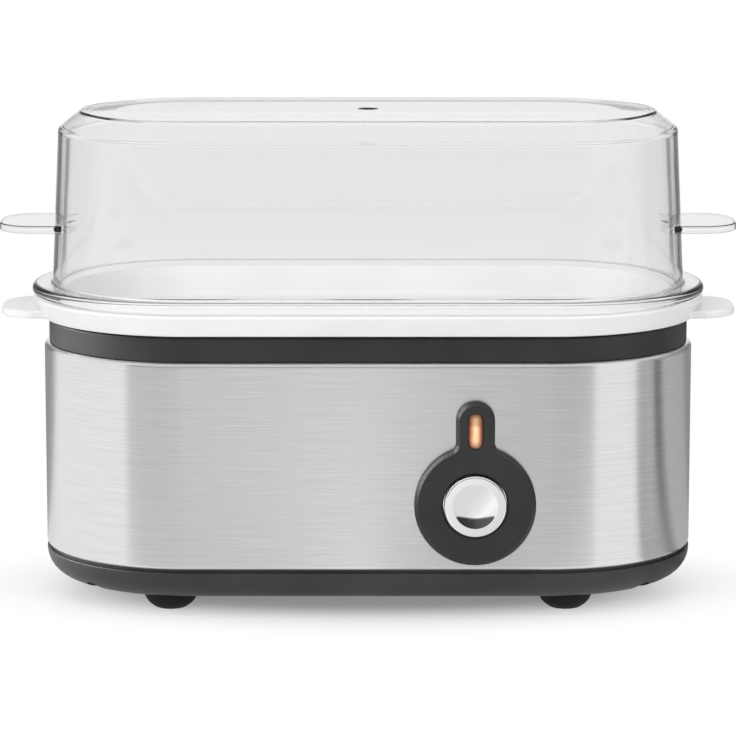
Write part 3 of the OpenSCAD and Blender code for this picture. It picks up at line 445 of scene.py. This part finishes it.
finishes = {name: mouldedFinish(name, *look) for name, look in looks.items()}
finishes["brushedSteel"] = steelFinish()
finishes["clearPlastic"] = lidFinish()
finishes["amberLensPaintedGlow"] = lensFinish()
print("finishes:", len(finishes))


# side tabs of the lid and the tray

tabSize = {
    "thick": 2.2, "width": 30.0, "corner": 11.0, "cornerSteps": 14,
    "soft": 0.55, "softSteps": 4, "softAngle": 50,
}


def sideTab(name, size, side):
    # plate from inside the wall's thickness out to a tip with round corners
    wide = tabSize["width"] / 2
    outline = [(size["tabTip"], -wide), (size["tabTip"], wide)]
    for y in [wide * step / 3 for step in range(3, -4, -1)]:
        outline.append((plan["half"] + math.sqrt(size["tabRoot"] ** 2 - y * y), y))
    places = [(side * x * mm, y * mm, size["tabLow"] * mm) for x, y in outline]
    rounds = [(0, tabSize["corner"]), (1, tabSize["corner"])]
    tab = raiseOutline(name, places, (0, 0, tabSize["thick"]), rounds, tabSize["cornerSteps"])
    focus(tab)
    soft = tab.modifiers.new("soften", "BEVEL")
    soft.width = tabSize["soft"] * mm
    soft.segments = tabSize["softSteps"]
    soft.limit_method = "ANGLE"
    soft.angle_limit = math.radians(tabSize["softAngle"])
    soft.use_clamp_overlap = True
    bpy.ops.object.modifier_apply(modifier=soft.name)
    return tab


# the clear lid

lidSize = {
    "section": [
        (0, 140.3), (31.55, 140.3), (38.25, 135.0), (40.35, 90.5), (46.24, 90.5), (46.24, 87.3),
        (38.5, 87.3), (36.25, 134.03), (30.855, 138.3), (23.0, 139.2), (0, 139.2),
    ],
    "rounds": [(1, 0.35), (2, 0.5), (3, 0.7), (4, 1.45), (5, 1.45), (6, 0.3), (7, 0.7), (8, 0.4), (9, 2.0)],
    "tabLow": 105.9, "tabTip": 106.25, "tabRoot": 38.7,
    "steam": [(0, 135), (2.5, 135), (2.5, 139.9), (3.2, 140.6), (3.2, 143), (0, 143)],
    "steamRounds": [(2, 0.4), (3, 0.3)], "steamSteps": 40,
}
lid = sweepRound("lidShell", lidSize["section"], lidSize["rounds"], closed=False)
for side in (-1, 1):
    combine(lid, sideTab("lidTab", lidSize, side), "UNION")
steamHole = spinUpright("steamHole", lidSize["steam"], 0, 0, lidSize["steamRounds"], lidSize["steamSteps"])
combine(lid, steamHole, "DIFFERENCE")
settle(lid, "cover", "clearPlastic", "lid", angle=30)
lid.visible_shadow = lid.visible_diffuse = False  # lamps reach the tray through the clear wall
print("lid:", len(lid.data.polygons), "faces")


# the white egg tray

traySize = {
    "section": [
        (0, 80.5), (34.7, 80.5), (36.3, 89.3), (37.7, 89.3), (37.7, 87.0), (46.0, 87.0), (45.95, 86.2),
        (43.4, 80.8), (41.6, 80.8), (43.6, 85.2), (37.7, 85.2), (37.7, 78.7), (0, 78.7),
    ],
    "rounds": [
        (1, 1.6), (2, 0.6), (3, 0.6), (4, 0.6), (5, 0.7), (7, 0.5), (8, 0.4), (9, 0.8),
        (10, 0.5), (11, 0.9),
    ],
    "tabLow": 81.4, "tabTip": 106.0, "tabRoot": 43.0,
    "pitch": 51.0, "seatSteps": 72,
    "seatRim": [(0, 77.1), (14.8, 77.1), (17.4, 79.6), (0, 79.6)],
    "seatHole": [(0, 70), (13.0, 70), (13.0, 77.1), (16.2, 80.2), (20.5, 80.62), (20.5, 84), (0, 84)],
    "rimRounds": [(1, 0.5)], "holeRounds": [(2, 0.5), (3, 0.9)],
    "slotX": 25.5, "slotY": 23.5, "slotLength": 14.0, "slotWidth": 3.0, "slotHeights": (70, 84),
}


def slotTool(name, x, y, length, width, heights):
    # capsule that cuts an oblong slot
    run, r = length / 2, width / 2
    low, high = heights
    angles = [math.radians(degrees) for degrees in range(-90, 91, 15)]
    outline = [(run + r * math.cos(angle), r * math.sin(angle)) for angle in angles]
    outline += [(-u, -v) for u, v in outline]
    places = [((x + u) * mm, (y + v) * mm, low * mm) for u, v in outline]
    return raiseOutline(name, places, (0, 0, high - low))


def seatTools(name, section, rounds):
    places = [step * traySize["pitch"] for step in (-1, 0, 1)]
    return joinAll([spinUpright(name, section, x, 0, rounds, traySize["seatSteps"]) for x in places])


tray = sweepRound("trayShell", traySize["section"], traySize["rounds"], closed=False)
for side in (-1, 1):
    combine(tray, sideTab("trayTab", traySize, side), "UNION")
combine(tray, seatTools("seatRim", traySize["seatRim"], traySize["rimRounds"]), "UNION")
combine(tray, seatTools("seatHole", traySize["seatHole"], traySize["holeRounds"]), "DIFFERENCE")
slots = []
for sx, sy in quarters:
    slots.append(slotTool(
        "traySlot", sx * traySize["slotX"], sy * traySize["slotY"],
        traySize["slotLength"], traySize["slotWidth"], traySize["slotHeights"]))
combine(tray, joinAll(slots), "DIFFERENCE")
settle(tray, "tray", "whiteTray", "egg_tray")
print("egg tray:", len(tray.data.polygons), "faces")


# steel band with the openings for the control and the cord outlet

dial = {
    "x": 30.2, "y": -plan["end"], "z": 32.8, "round": 17.2, "tab": 11.0, "rise": 24.3,
    "roundSteps": 72, "tabSteps": 24, "corner": 1.3, "cornerSteps": 6,
    "plate": 2.2, "chamfer": 1.1, "soft": 0.16, "softSteps": 2,
    "neck": 14.8, "neckTab": 9.0, "neckStart": 0.5, "neckDeep": 7.5,
    "bore": [(0, -8), (10.1, -8), (10.1, -1.0), (9.1, -1.0), (9.1, 1.75), (9.75, 2.4), (9.75, 4), (0, 4)],
    "boreRounds": [(5, 0.3)],
}
dialCentre = (dial["x"], dial["y"], dial["z"])
gland = {
    "centre": (-33.0, plan["end"], 30.0),
    "section": [(3.5, 2.6), (8.5, 2.6), (8.5, 0), (5.8, 0), (5.8, -12), (3.5, -12), (3.5, 2.6)],
    "rounds": [(1, 0.9), (4, 0.5)],
    "hole": [(0, -4), (5.9, -4), (5.9, 4), (0, 4)],
}


def keyhole(r, width, depth):
    # outline of the control's surround: a round with an upright tab, drawn at a depth out of the front
    lean = math.asin(width / 2 / r)
    start, sweep = math.pi / 2 - lean, math.tau - 2 * lean
    turns = [start - sweep * step / dial["roundSteps"] for step in range(dial["roundSteps"] + 1)]
    outline = [(r * math.cos(turn), r * math.sin(turn)) for turn in turns]
    for step in range(dial["tabSteps"] + 1):
        turn = math.pi * step / dial["tabSteps"]
        outline.append((width / 2 * math.cos(math.pi - turn), dial["rise"] + width / 2 * math.sin(turn)))
    return [((dial["x"] + u) * mm, (dial["y"] - depth) * mm, (dial["z"] + v) * mm) for u, v in outline]


bandSize = {
    "section": [
        (41.1, 13.6), (plan["end"], 13.6), (plan["end"], 73.2), (41.1, 73.2),
        (41.1, 72.6), (42.4, 72.6), (42.4, 14.2), (41.1, 14.2),
    ],
    "rounds": [(1, 1.4), (2, 1.4), (5, 0.8), (6, 0.8)],
    "steps": 5, "fit": 0.4, "cutDepth": 4, "cutLength": 8,
}
band = sweepRound("steelSheet", bandSize["section"], bandSize["rounds"], segments=bandSize["steps"])
fit = bandSize["fit"]
opening = keyhole(dial["neck"] + fit, dial["neckTab"] + 2 * fit, bandSize["cutDepth"])
combine(band, raiseOutline("bandOpening", opening, (0, bandSize["cutLength"], 0)), "DIFFERENCE")
combine(band, spinForward("bandHole", gland["hole"], gland["centre"], facing=1), "DIFFERENCE")
settle(band, "housing", "brushedSteel", "steel_band", angle=30)


# collar above the steel, with the posts that the base's screws reach

collarSize = {
    "section": [
        (35.3, 72.2), (38.9, 72.2), (38.9, 65.2), (40.7, 65.2), (40.7, 73.3), (41.6, 73.3), (41.6, 80.5),
        (38.3, 80.5), (38.3, 74.2), (35.3, 74.2),
    ],
    "rounds": [(2, 0.3), (3, 0.3), (5, 0.25), (6, 0.9), (7, 0.5), (9, 0.3), (0, 0.3)], "steps": 4,
    "postAt": 26.587,
    "post": [(0, 33), (1.5, 33), (1.5, 21.7), (2.7, 21.7), (2.7, 73.0), (0, 73.0)],
    "postRounds": [(2, 0.2), (3, 0.3)],
}
postX, postY = plan["half"] + collarSize["postAt"], collarSize["postAt"]
postPlaces = [(sx * postX, sy * postY) for sx, sy in quarters]


def atPlaces(name, section, places, rounds=()):
    # the same turned shape at each place
    return [spinUpright(name, section, x, y, rounds) for x, y in places]


collar = sweepRound("collarRing", collarSize["section"], collarSize["rounds"], segments=collarSize["steps"])
collarPosts = atPlaces("collarPost", collarSize["post"], postPlaces, collarSize["postRounds"])
combine(collar, joinAll(collarPosts), "UNION")
settle(collar, "housing", "greyMoulding", "top_collar")


# base below the steel: a tub with posts, screw wells, holes for the feet and vent slots

baseSize = {
    "section": [
        (0, 4.8), (plan["end"], 4.8), (plan["end"], 12.9), (41.8, 12.9), (41.8, 13.6), (40.7, 13.6),
        (40.7, 16.6), (38.9, 16.6), (38.9, 11.4), (40.8, 11.4), (40.8, 7.0), (0, 7.0),
    ],
    "rounds": [(1, 7.7), (2, 0.25), (6, 0.3), (7, 0.3), (10, 4.2)], "steps": 10,
    "post": [(0, 6), (4.3, 6), (4.3, 12.4), (2.7, 12.4), (2.7, 21.6), (0, 21.6)], "postRounds": [(4, 0.3)],
    "limit": [(0, 4.8), (plan["end"], 4.8), (plan["end"], 30), (0, 30)], "limitRounds": [(1, 8.0)],
    "well": [(0, 3), (3.4, 3), (3.1, 5.1), (3.1, 9.4), (1.6, 9.4), (1.6, 23), (0, 23)],
    "footHole": [(0, 3), (2.7, 3), (2.7, 9), (0, 9)], "footX": 56.5, "footY": 28.0,
    "vents": range(-2, 3), "ventPitch": 7.0, "ventLength": 26.0, "ventWidth": 2.4, "ventHeights": (3, 9),
}
footPlaces = [(sx * baseSize["footX"], sy * baseSize["footY"]) for sx, sy in quarters]
base = sweepRound("baseTub", baseSize["section"], baseSize["rounds"], False, baseSize["steps"])
basePosts = joinAll(atPlaces("basePost", baseSize["post"], postPlaces, baseSize["postRounds"]))
baseForm = sweepRound("baseForm", baseSize["limit"], baseSize["limitRounds"], False, baseSize["steps"])
combine(basePosts, baseForm, "INTERSECT")
combine(base, basePosts, "UNION")
cuts = atPlaces("screwWell", baseSize["well"], postPlaces)
cuts += atPlaces("footHole", baseSize["footHole"], footPlaces)
for step in baseSize["vents"]:
    cuts.append(slotTool(
        "ventSlot", 0, step * baseSize["ventPitch"],
        baseSize["ventLength"], baseSize["ventWidth"], baseSize["ventHeights"]))
combine(base, joinAll(cuts), "DIFFERENCE")
# the base takes the grey plastic painted lighter, in place of light it lacks
settle(base, "housing", "greyMouldingPaintedLighter", "base_shell")
print("housing:", len(band.data.polygons), len(collar.data.polygons), len(base.data.polygons), "faces")


# rubber feet: one is turned, and each foot is a copy of it

footSize = {
    "section": [
        (0, 0), (4.3, 0), (6.6, 1.7), (7.6, 3.6), (7.8, 4.8), (2.6, 4.8), (2.6, 7.1),
        (3.5, 7.1), (3.3, 8.4), (2.2, 8.7), (0, 8.7),
    ],
    "rounds": [(1, 0.7), (2, 0.9), (3, 0.6), (4, 0.25), (7, 0.2)], "steps": 56,
    "nodes": {
        "foot_front_left": (-1, -1), "foot_front_right": (1, -1),
        "foot_rear_left": (-1, 1), "foot_rear_right": (1, 1),
    },
}
firstFoot = spinUpright("footPad", footSize["section"], 0, 0, footSize["rounds"], footSize["steps"])
for nodeName, (sx, sy) in footSize["nodes"].items():
    foot = firstFoot.copy()
    foot.data = firstFoot.data.copy()
    foot.name = foot.data.name = "rubber" + nodeName.title().replace("_", "")
    bpy.context.collection.objects.link(foot)
    foot.location = (sx * baseSize["footX"] * mm, sy * baseSize["footY"] * mm, 0)
    settle(foot, "housing", "footRubber", nodeName, angle=40)
bpy.data.objects.remove(firstFoot, do_unlink=True)
print("feet:", len(footSize["nodes"]))


# surround of the control: a chamfered plate with a neck into the body, the button's bore and the window

def windowOutline(grow, depth):
    # upright oblong of the lamp window
    r = lensSize["width"] / 2 + grow
    reach = lensSize["height"] / 2 - lensSize["width"] / 2
    angles = [math.pi * step / lensSize["arcSteps"] for step in range(lensSize["arcSteps"] + 1)]
    upper = [(r * math.cos(angle), reach + r * math.sin(angle)) for angle in angles]
    outline = upper + [(-u, -v) for u, v in upper]
    return [((lensSize["x"] + u) * mm, depth * mm, (lensSize["z"] + v) * mm) for u, v in outline]


def windowTool(name, kind):
    grow, depth, length = lensSize[kind]
    return raiseOutline(name, windowOutline(grow, depth), (0, length, 0))


plate = keyhole(dial["round"], dial["tab"], 0)
plateRounds = [(0, dial["corner"]), (dial["roundSteps"], dial["corner"])]
bezel = raiseOutline("controlSurround", plate, (0, -dial["plate"], 0), plateRounds, dial["cornerSteps"])
front = (dial["y"] - dial["plate"]) * mm
pickRing(bezel, front)
bpy.ops.mesh.bevel(offset=dial["chamfer"] * mm, segments=1, affect="EDGES", clamp_overlap=False)
for depth in (front, front + dial["chamfer"] * mm):
    pickRing(bezel, depth, near["weld"])
    bpy.ops.mesh.bevel(
        offset=dial["soft"] * mm, segments=dial["softSteps"], affect="EDGES", clamp_overlap=False)
neck = keyhole(dial["neck"], dial["neckTab"], dial["neckStart"])
combine(bezel, raiseOutline("surroundNeck", neck, (0, dial["neckDeep"], 0)), "UNION")
buttonBore = spinForward("buttonBore", dial["bore"], dialCentre, facing=-1, rounds=dial["boreRounds"])
combine(bezel, buttonBore, "DIFFERENCE")
combine(bezel, windowTool("windowCut", "cut"), "DIFFERENCE")
combine(bezel, windowTool("windowSeat", "seat"), "DIFFERENCE")
settle(bezel, "housing", "bezelMoulding", "control_bezel")


# push button with a dished face

buttonSize = {
    "dish": 6.3, "deep": 0.66, "curve": 2.5, "dishSteps": 12, "face": 2.9,
    "back": [(8.8, 2.9), (8.8, -1.3), (9.5, -1.3), (9.5, -2.5), (6.8, -2.5), (6.8, 0.3), (0, 0.3)],
    "rounds": [(12, 0.15), (13, 0.6), (15, 0.15), (16, 0.15)], "steps": 96,
}
dish = []
for step in range(buttonSize["dishSteps"] + 1):
    out = step / buttonSize["dishSteps"]
    sink = buttonSize["deep"] * (1 - out ** buttonSize["curve"])
    dish.append((out * buttonSize["dish"], buttonSize["face"] - sink))
button = spinForward(
    "pushButton", dish + buttonSize["back"], dialCentre, -1, buttonSize["rounds"], buttonSize["steps"])
settle(button, "button", "buttonChrome", "button_cap")


# the button's spring, which runs forward from the switch carrier and is squeezed by the button's travel

springSize = {
    "coil": 4.6, "wire": 0.35, "sides": 10, "turns": 5, "steps": 28,
    "back": -36.0, "room": 7.3, "gap": 0.1, "travel": 3.0,
}
deselect()
bpy.ops.mesh.primitive_circle_add(
    vertices=springSize["sides"], radius=springSize["wire"] * mm,
    location=(springSize["coil"] * mm, 0, 0), rotation=(math.pi / 2, 0, 0))
spring = bpy.context.object
spring.name = spring.data.name = "buttonSpring"
bpy.ops.object.transform_apply(location=True, rotation=True, scale=True)
windings = springSize["room"] - 2 * springSize["wire"] - 2 * springSize["gap"]
winding = spring.modifiers.new("winding", "SCREW")
winding.screw_offset = windings / springSize["turns"] * mm
winding.iterations = springSize["turns"]
winding.steps = winding.render_steps = springSize["steps"]
bpy.ops.object.modifier_apply(modifier=winding.name)
bpy.ops.object.mode_set(mode="EDIT")
bpy.ops.mesh.select_all(action="SELECT")
bpy.ops.mesh.fill_holes(sides=0)
closeShape()
springStart = springSize["back"] - springSize["gap"] - springSize["wire"]
spring.rotation_euler = (math.pi / 2, 0, 0)
spring.location = (dial["x"] * mm, springStart * mm, dial["z"] * mm)
settle(spring, "housing", "springWire", "button_spring", angle=60)
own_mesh(spring)


# lens of the lamp: a domed oblong with a flange behind the surround

lensLength = lensSize["front"] - lensSize["back"]
lens = raiseOutline("lampLens", windowOutline(0, lensSize["back"]), (0, lensLength, 0))
pickRing(lens, lensSize["front"] * mm)
bpy.ops.mesh.bevel(
    offset=lensSize["dome"] * mm, segments=lensSize["domeSteps"], affect="EDGES", clamp_overlap=False)
combine(lens, windowTool("lensFlange", "flange"), "UNION")
settle(lens, "housing", "amberLensPaintedGlow", "indicator_lens", angle=50)
print("control:", len(bezel.data.polygons), len(button.data.polygons), len(lens.data.polygons), "faces")


# pan under the tray, cord outlet at the back

panSize = {
    "section": [
        (0, 65.2), (31.0, 65.2), (33.6, 76.6), (37.8, 76.6), (37.8, 75.4), (34.8, 75.4),
        (32.2, 64.0), (0, 64.0),
    ],
    "rounds": [(1, 1.8), (2, 1.2), (3, 0.3), (4, 0.3), (5, 0.5), (6, 2.4)],
}
pan = sweepRound("waterPan", panSize["section"], panSize["rounds"], closed=False)
settle(pan, "housing", "panSteel", "heating_pan")
outlet = spinForward("cordOutlet", gland["section"], gland["centre"], facing=1, rounds=gland["rounds"])
settle(outlet, "housing", "glandMoulding", "cord_gland")
print("pan and outlet:", len(pan.data.polygons), len(outlet.data.polygons), "faces")


# finishes of the CAD nodes, by the slots of the record

slotFinishes = {
    "brushed_steel": "brushedSteel", "clear_plastic": "clearPlastic", "white_plastic": "whiteTray",
    "grey_plastic": "greyMoulding", "foot_rubber": "footRubber", "bezel_plastic": "bezelMoulding",
    "button_chrome": "buttonChrome", "lamp_lens": "amberLensPaintedGlow", "pan_metal": "panSteel",
    "plated_steel": "platedSteel", "silicone": "redSilicone", "aluminium": "castAluminium",
    "sheath_metal": "sheathMetal", "ceramic": "ceramicBody", "brass": "brassTerminal",
    "phenolic": "phenolicCase", "holder_plastic": "holderPlastic", "spring_steel": "springWire",
    "gland_plastic": "glandMoulding", "lamp_glass": "lampGlass", "brown_wire": "brownWire",
    "white_wire": "whiteWire", "blue_wire": "blueWire", "green_wire": "greenWire", "red_wire": "redWire",
}
for entry in frame["record"]["subparts"]:
    mesh = nodes[entry["node"]].data
    mesh.materials.clear()
    mesh.materials.append(finishes[slotFinishes[entry["material_slot"]]])


# floor: a pale sheet with the object's shadow, white away from the object

stageSize = {
    "floor": 6.0, "reach": (0.12, 0.062, 1.0), "shadow": (0.45, 1.1), "near": 0.22, "through": 0.54,
    "shader": {"Base Color": (*tone(0.86), 1), "Roughness": 0.3, "Specular IOR Level": 0.25},
    # what metal mirrors of the floor, by bearing in degrees from the front
    "tones": [
        (-180, 0.85), (-166, 0.8), (-160, 0.3), (-135, 0.35), (-124, 0.55), (-119, 0.92), (-54, 0.95),
        (-51, 0.78), (-25, 0.8), (-12, 0.92), (-4, 1.0), (0, 1.0), (6, 0.87), (13, 0.75), (39, 0.72),
        (42, 0.93), (72, 0.93), (74, 0.45), (87, 0.56), (90, 0.14), (95, 0.14), (98, 0.53), (125, 0.48),
        (135, 0.3), (160, 0.3), (166, 0.8), (180, 0.85),
    ],
}


def addBearing(tree, coords, levels):
    # grey level by bearing round the object: back, left, front at the middle, right, back
    turn = addNode(tree, "Mapping", {"Rotation": (0, 0, math.pi / 2)})
    tree.links.new(coords, turn.inputs["Vector"])
    bearing = addNode(tree, "TexGradient")
    bearing.gradient_type = "RADIAL"
    tree.links.new(turn.outputs["Vector"], bearing.inputs["Vector"])
    stops = [(0.5 + degrees / 360, tone(level)) for degrees, level in levels]
    return addRamp(tree, bearing.outputs["Fac"], stops)


def floorFinish():
    finish, tree, shader, coords = newFinish("paleFloor")
    setInputs(shader, stageSize["shader"])
    light = addNode(tree, "Emission")
    path = addNode(tree, "LightPath").outputs
    mirrored = addMath(tree, "SUBTRACT", path["Is Glossy Ray"], path["Is Transmission Ray"])
    through = addMath(tree, "MULTIPLY", path["Is Transmission Ray"], stageSize["through"])
    seen = addMath(tree, "MAXIMUM", path["Is Camera Ray"], mirrored)
    seen = addMath(tree, "MAXIMUM", seen, through)
    tones = addBearing(tree, coords["Object"], stageSize["tones"])
    plain = addMath(tree, "LESS_THAN", mirrored, 0.5)
    tree.links.new(addMath(tree, "MAXIMUM", tones, plain), light.inputs["Strength"])
    spread = addNode(tree, "Mapping", {"Scale": [1 / reach for reach in stageSize["reach"]]})
    tree.links.new(coords["Object"], spread.inputs["Vector"])
    far = addNode(tree, "VectorMath")
    far.operation = "LENGTH"
    tree.links.new(spread.outputs["Vector"], far.inputs[0])
    glow = addRange(tree, far.outputs["Value"], stageSize["near"], 1.0, stageSize["shadow"], smooth=True)
    mix = addNode(tree, "MixShader")
    tree.links.new(addMath(tree, "MULTIPLY", seen, glow), mix.inputs["Fac"])
    tree.links.new(shader.outputs["BSDF"], mix.inputs[1])
    tree.links.new(light.outputs["Emission"], mix.inputs[2])
    tree.links.new(mix.outputs["Shader"], tree.nodes["Material Output"].inputs["Surface"])
    return finish


deselect()
bpy.ops.mesh.primitive_plane_add(size=stageSize["floor"], location=(0, 0, 0))
floor = bpy.context.object
floor.name = "floor"
floor.data.materials.append(floorFinish())


# walls and ceiling of the studio

studio = {
    "tones": [
        (-180, 0.9), (-168, 0.88), (-163, 0.2), (-137, 0.25), (-133, 0.9), (-51, 0.9), (-49, 0.14),
        (-8, 0.1), (0, 0.08), (5, 0.05), (36, 0.02), (40, 0.88), (77, 0.88), (79, 0.3), (119, 0.3),
        (137, 0.2), (163, 0.2), (168, 0.88), (180, 0.9),
    ],
    "ceiling": 0.5, "ceilingRise": (0.7, 0.85), "through": 0.92,
    "overhead": 0.9, "overheadRise": (0.3, 0.6),  # what metal mirrors above the walls
}
world = bpy.data.worlds.new("studio")
bpy.context.scene.world = world
world.use_nodes = True
sky = world.node_tree
backdrop = sky.nodes["Background"]
backdrop.inputs["Color"].default_value = (1, 1, 1, 1)
way = addNode(sky, "TexCoord").outputs["Generated"]
rise = addSplit(sky, way)["Z"]
path = addNode(sky, "LightPath").outputs
overhead = addRange(sky, rise, 0.0, studio["overhead"], studio["overheadRise"], smooth=True)
shares = [
    addRange(sky, rise, 0.0, studio["ceiling"], studio["ceilingRise"], smooth=True),
    path["Is Camera Ray"],
    addMath(sky, "MULTIPLY", path["Is Transmission Ray"], studio["through"]),
    addMath(sky, "MULTIPLY", overhead, path["Is Glossy Ray"]),
]
level = addBearing(sky, way, studio["tones"])
for share in shares:
    level = addMath(sky, "MAXIMUM", level, share)
sky.links.new(level, backdrop.inputs["Strength"])


# lamps; the edge light shows only as a sheen on the dark mouldings

lamps = {
    "topBox": {"place": (0.0, -0.25, 0.95), "aim": (0, 0, 0.05), "size": (0.9, 0.6), "power": 1.6},
    "leftBox": {"place": (-0.75, -0.8, 0.4), "aim": (0, 0, 0.06), "size": (0.5, 0.7), "power": 6.6},
    "rightBox": {"place": (0.75, -0.8, 0.4), "aim": (0, 0, 0.06), "size": (0.5, 0.7), "power": 4.6},
    "edgeBox": {"place": (-0.75, 0.1, 0.5), "aim": (0, 0, 0.1), "size": (1.0, 0.95), "power": 22.0},
}
for lampName, lamp in lamps.items():
    data = bpy.data.lights.new(lampName, "AREA")
    data.shape = "RECTANGLE"
    data.size, data.size_y = lamp["size"]
    data.energy = lamp["power"]
    item = bpy.data.objects.new(lampName, data)
    bpy.context.collection.objects.link(item)
    item.location = lamp["place"]
    item.visible_glossy = item.visible_transmission = False
    item.rotation_euler = (Vector(lamp["aim"]) - Vector(lamp["place"])).to_track_quat("-Z", "Y").to_euler()
darkMouldings = bpy.data.collections.new("darkMouldings")
for piece in (bezel, collar, base):
    darkMouldings.objects.link(piece)
edgeBox = bpy.data.objects["edgeBox"]
edgeBox.visible_glossy = True
edgeBox.visible_diffuse = False
edgeBox.light_linking.receiver_collection = darkMouldings


# camera at the photo's angle

cameraSize = {"place": (0.0, -1.0877, 0.2564), "pitch": 10.01, "lens": 185.27, "sensor": 36.0}
cameraData = bpy.data.cameras.new("photoView")
cameraData.sensor_width = cameraSize["sensor"]
cameraData.lens = cameraSize["lens"]
camera = bpy.data.objects.new("photoView", cameraData)
bpy.context.collection.objects.link(camera)
camera.location = cameraSize["place"]
camera.rotation_euler = (math.radians(90 - cameraSize["pitch"]), 0, 0)
bpy.context.scene.camera = camera
bpy.context.scene.view_settings.view_transform = "Standard"
print("stage, lamps and camera ready")
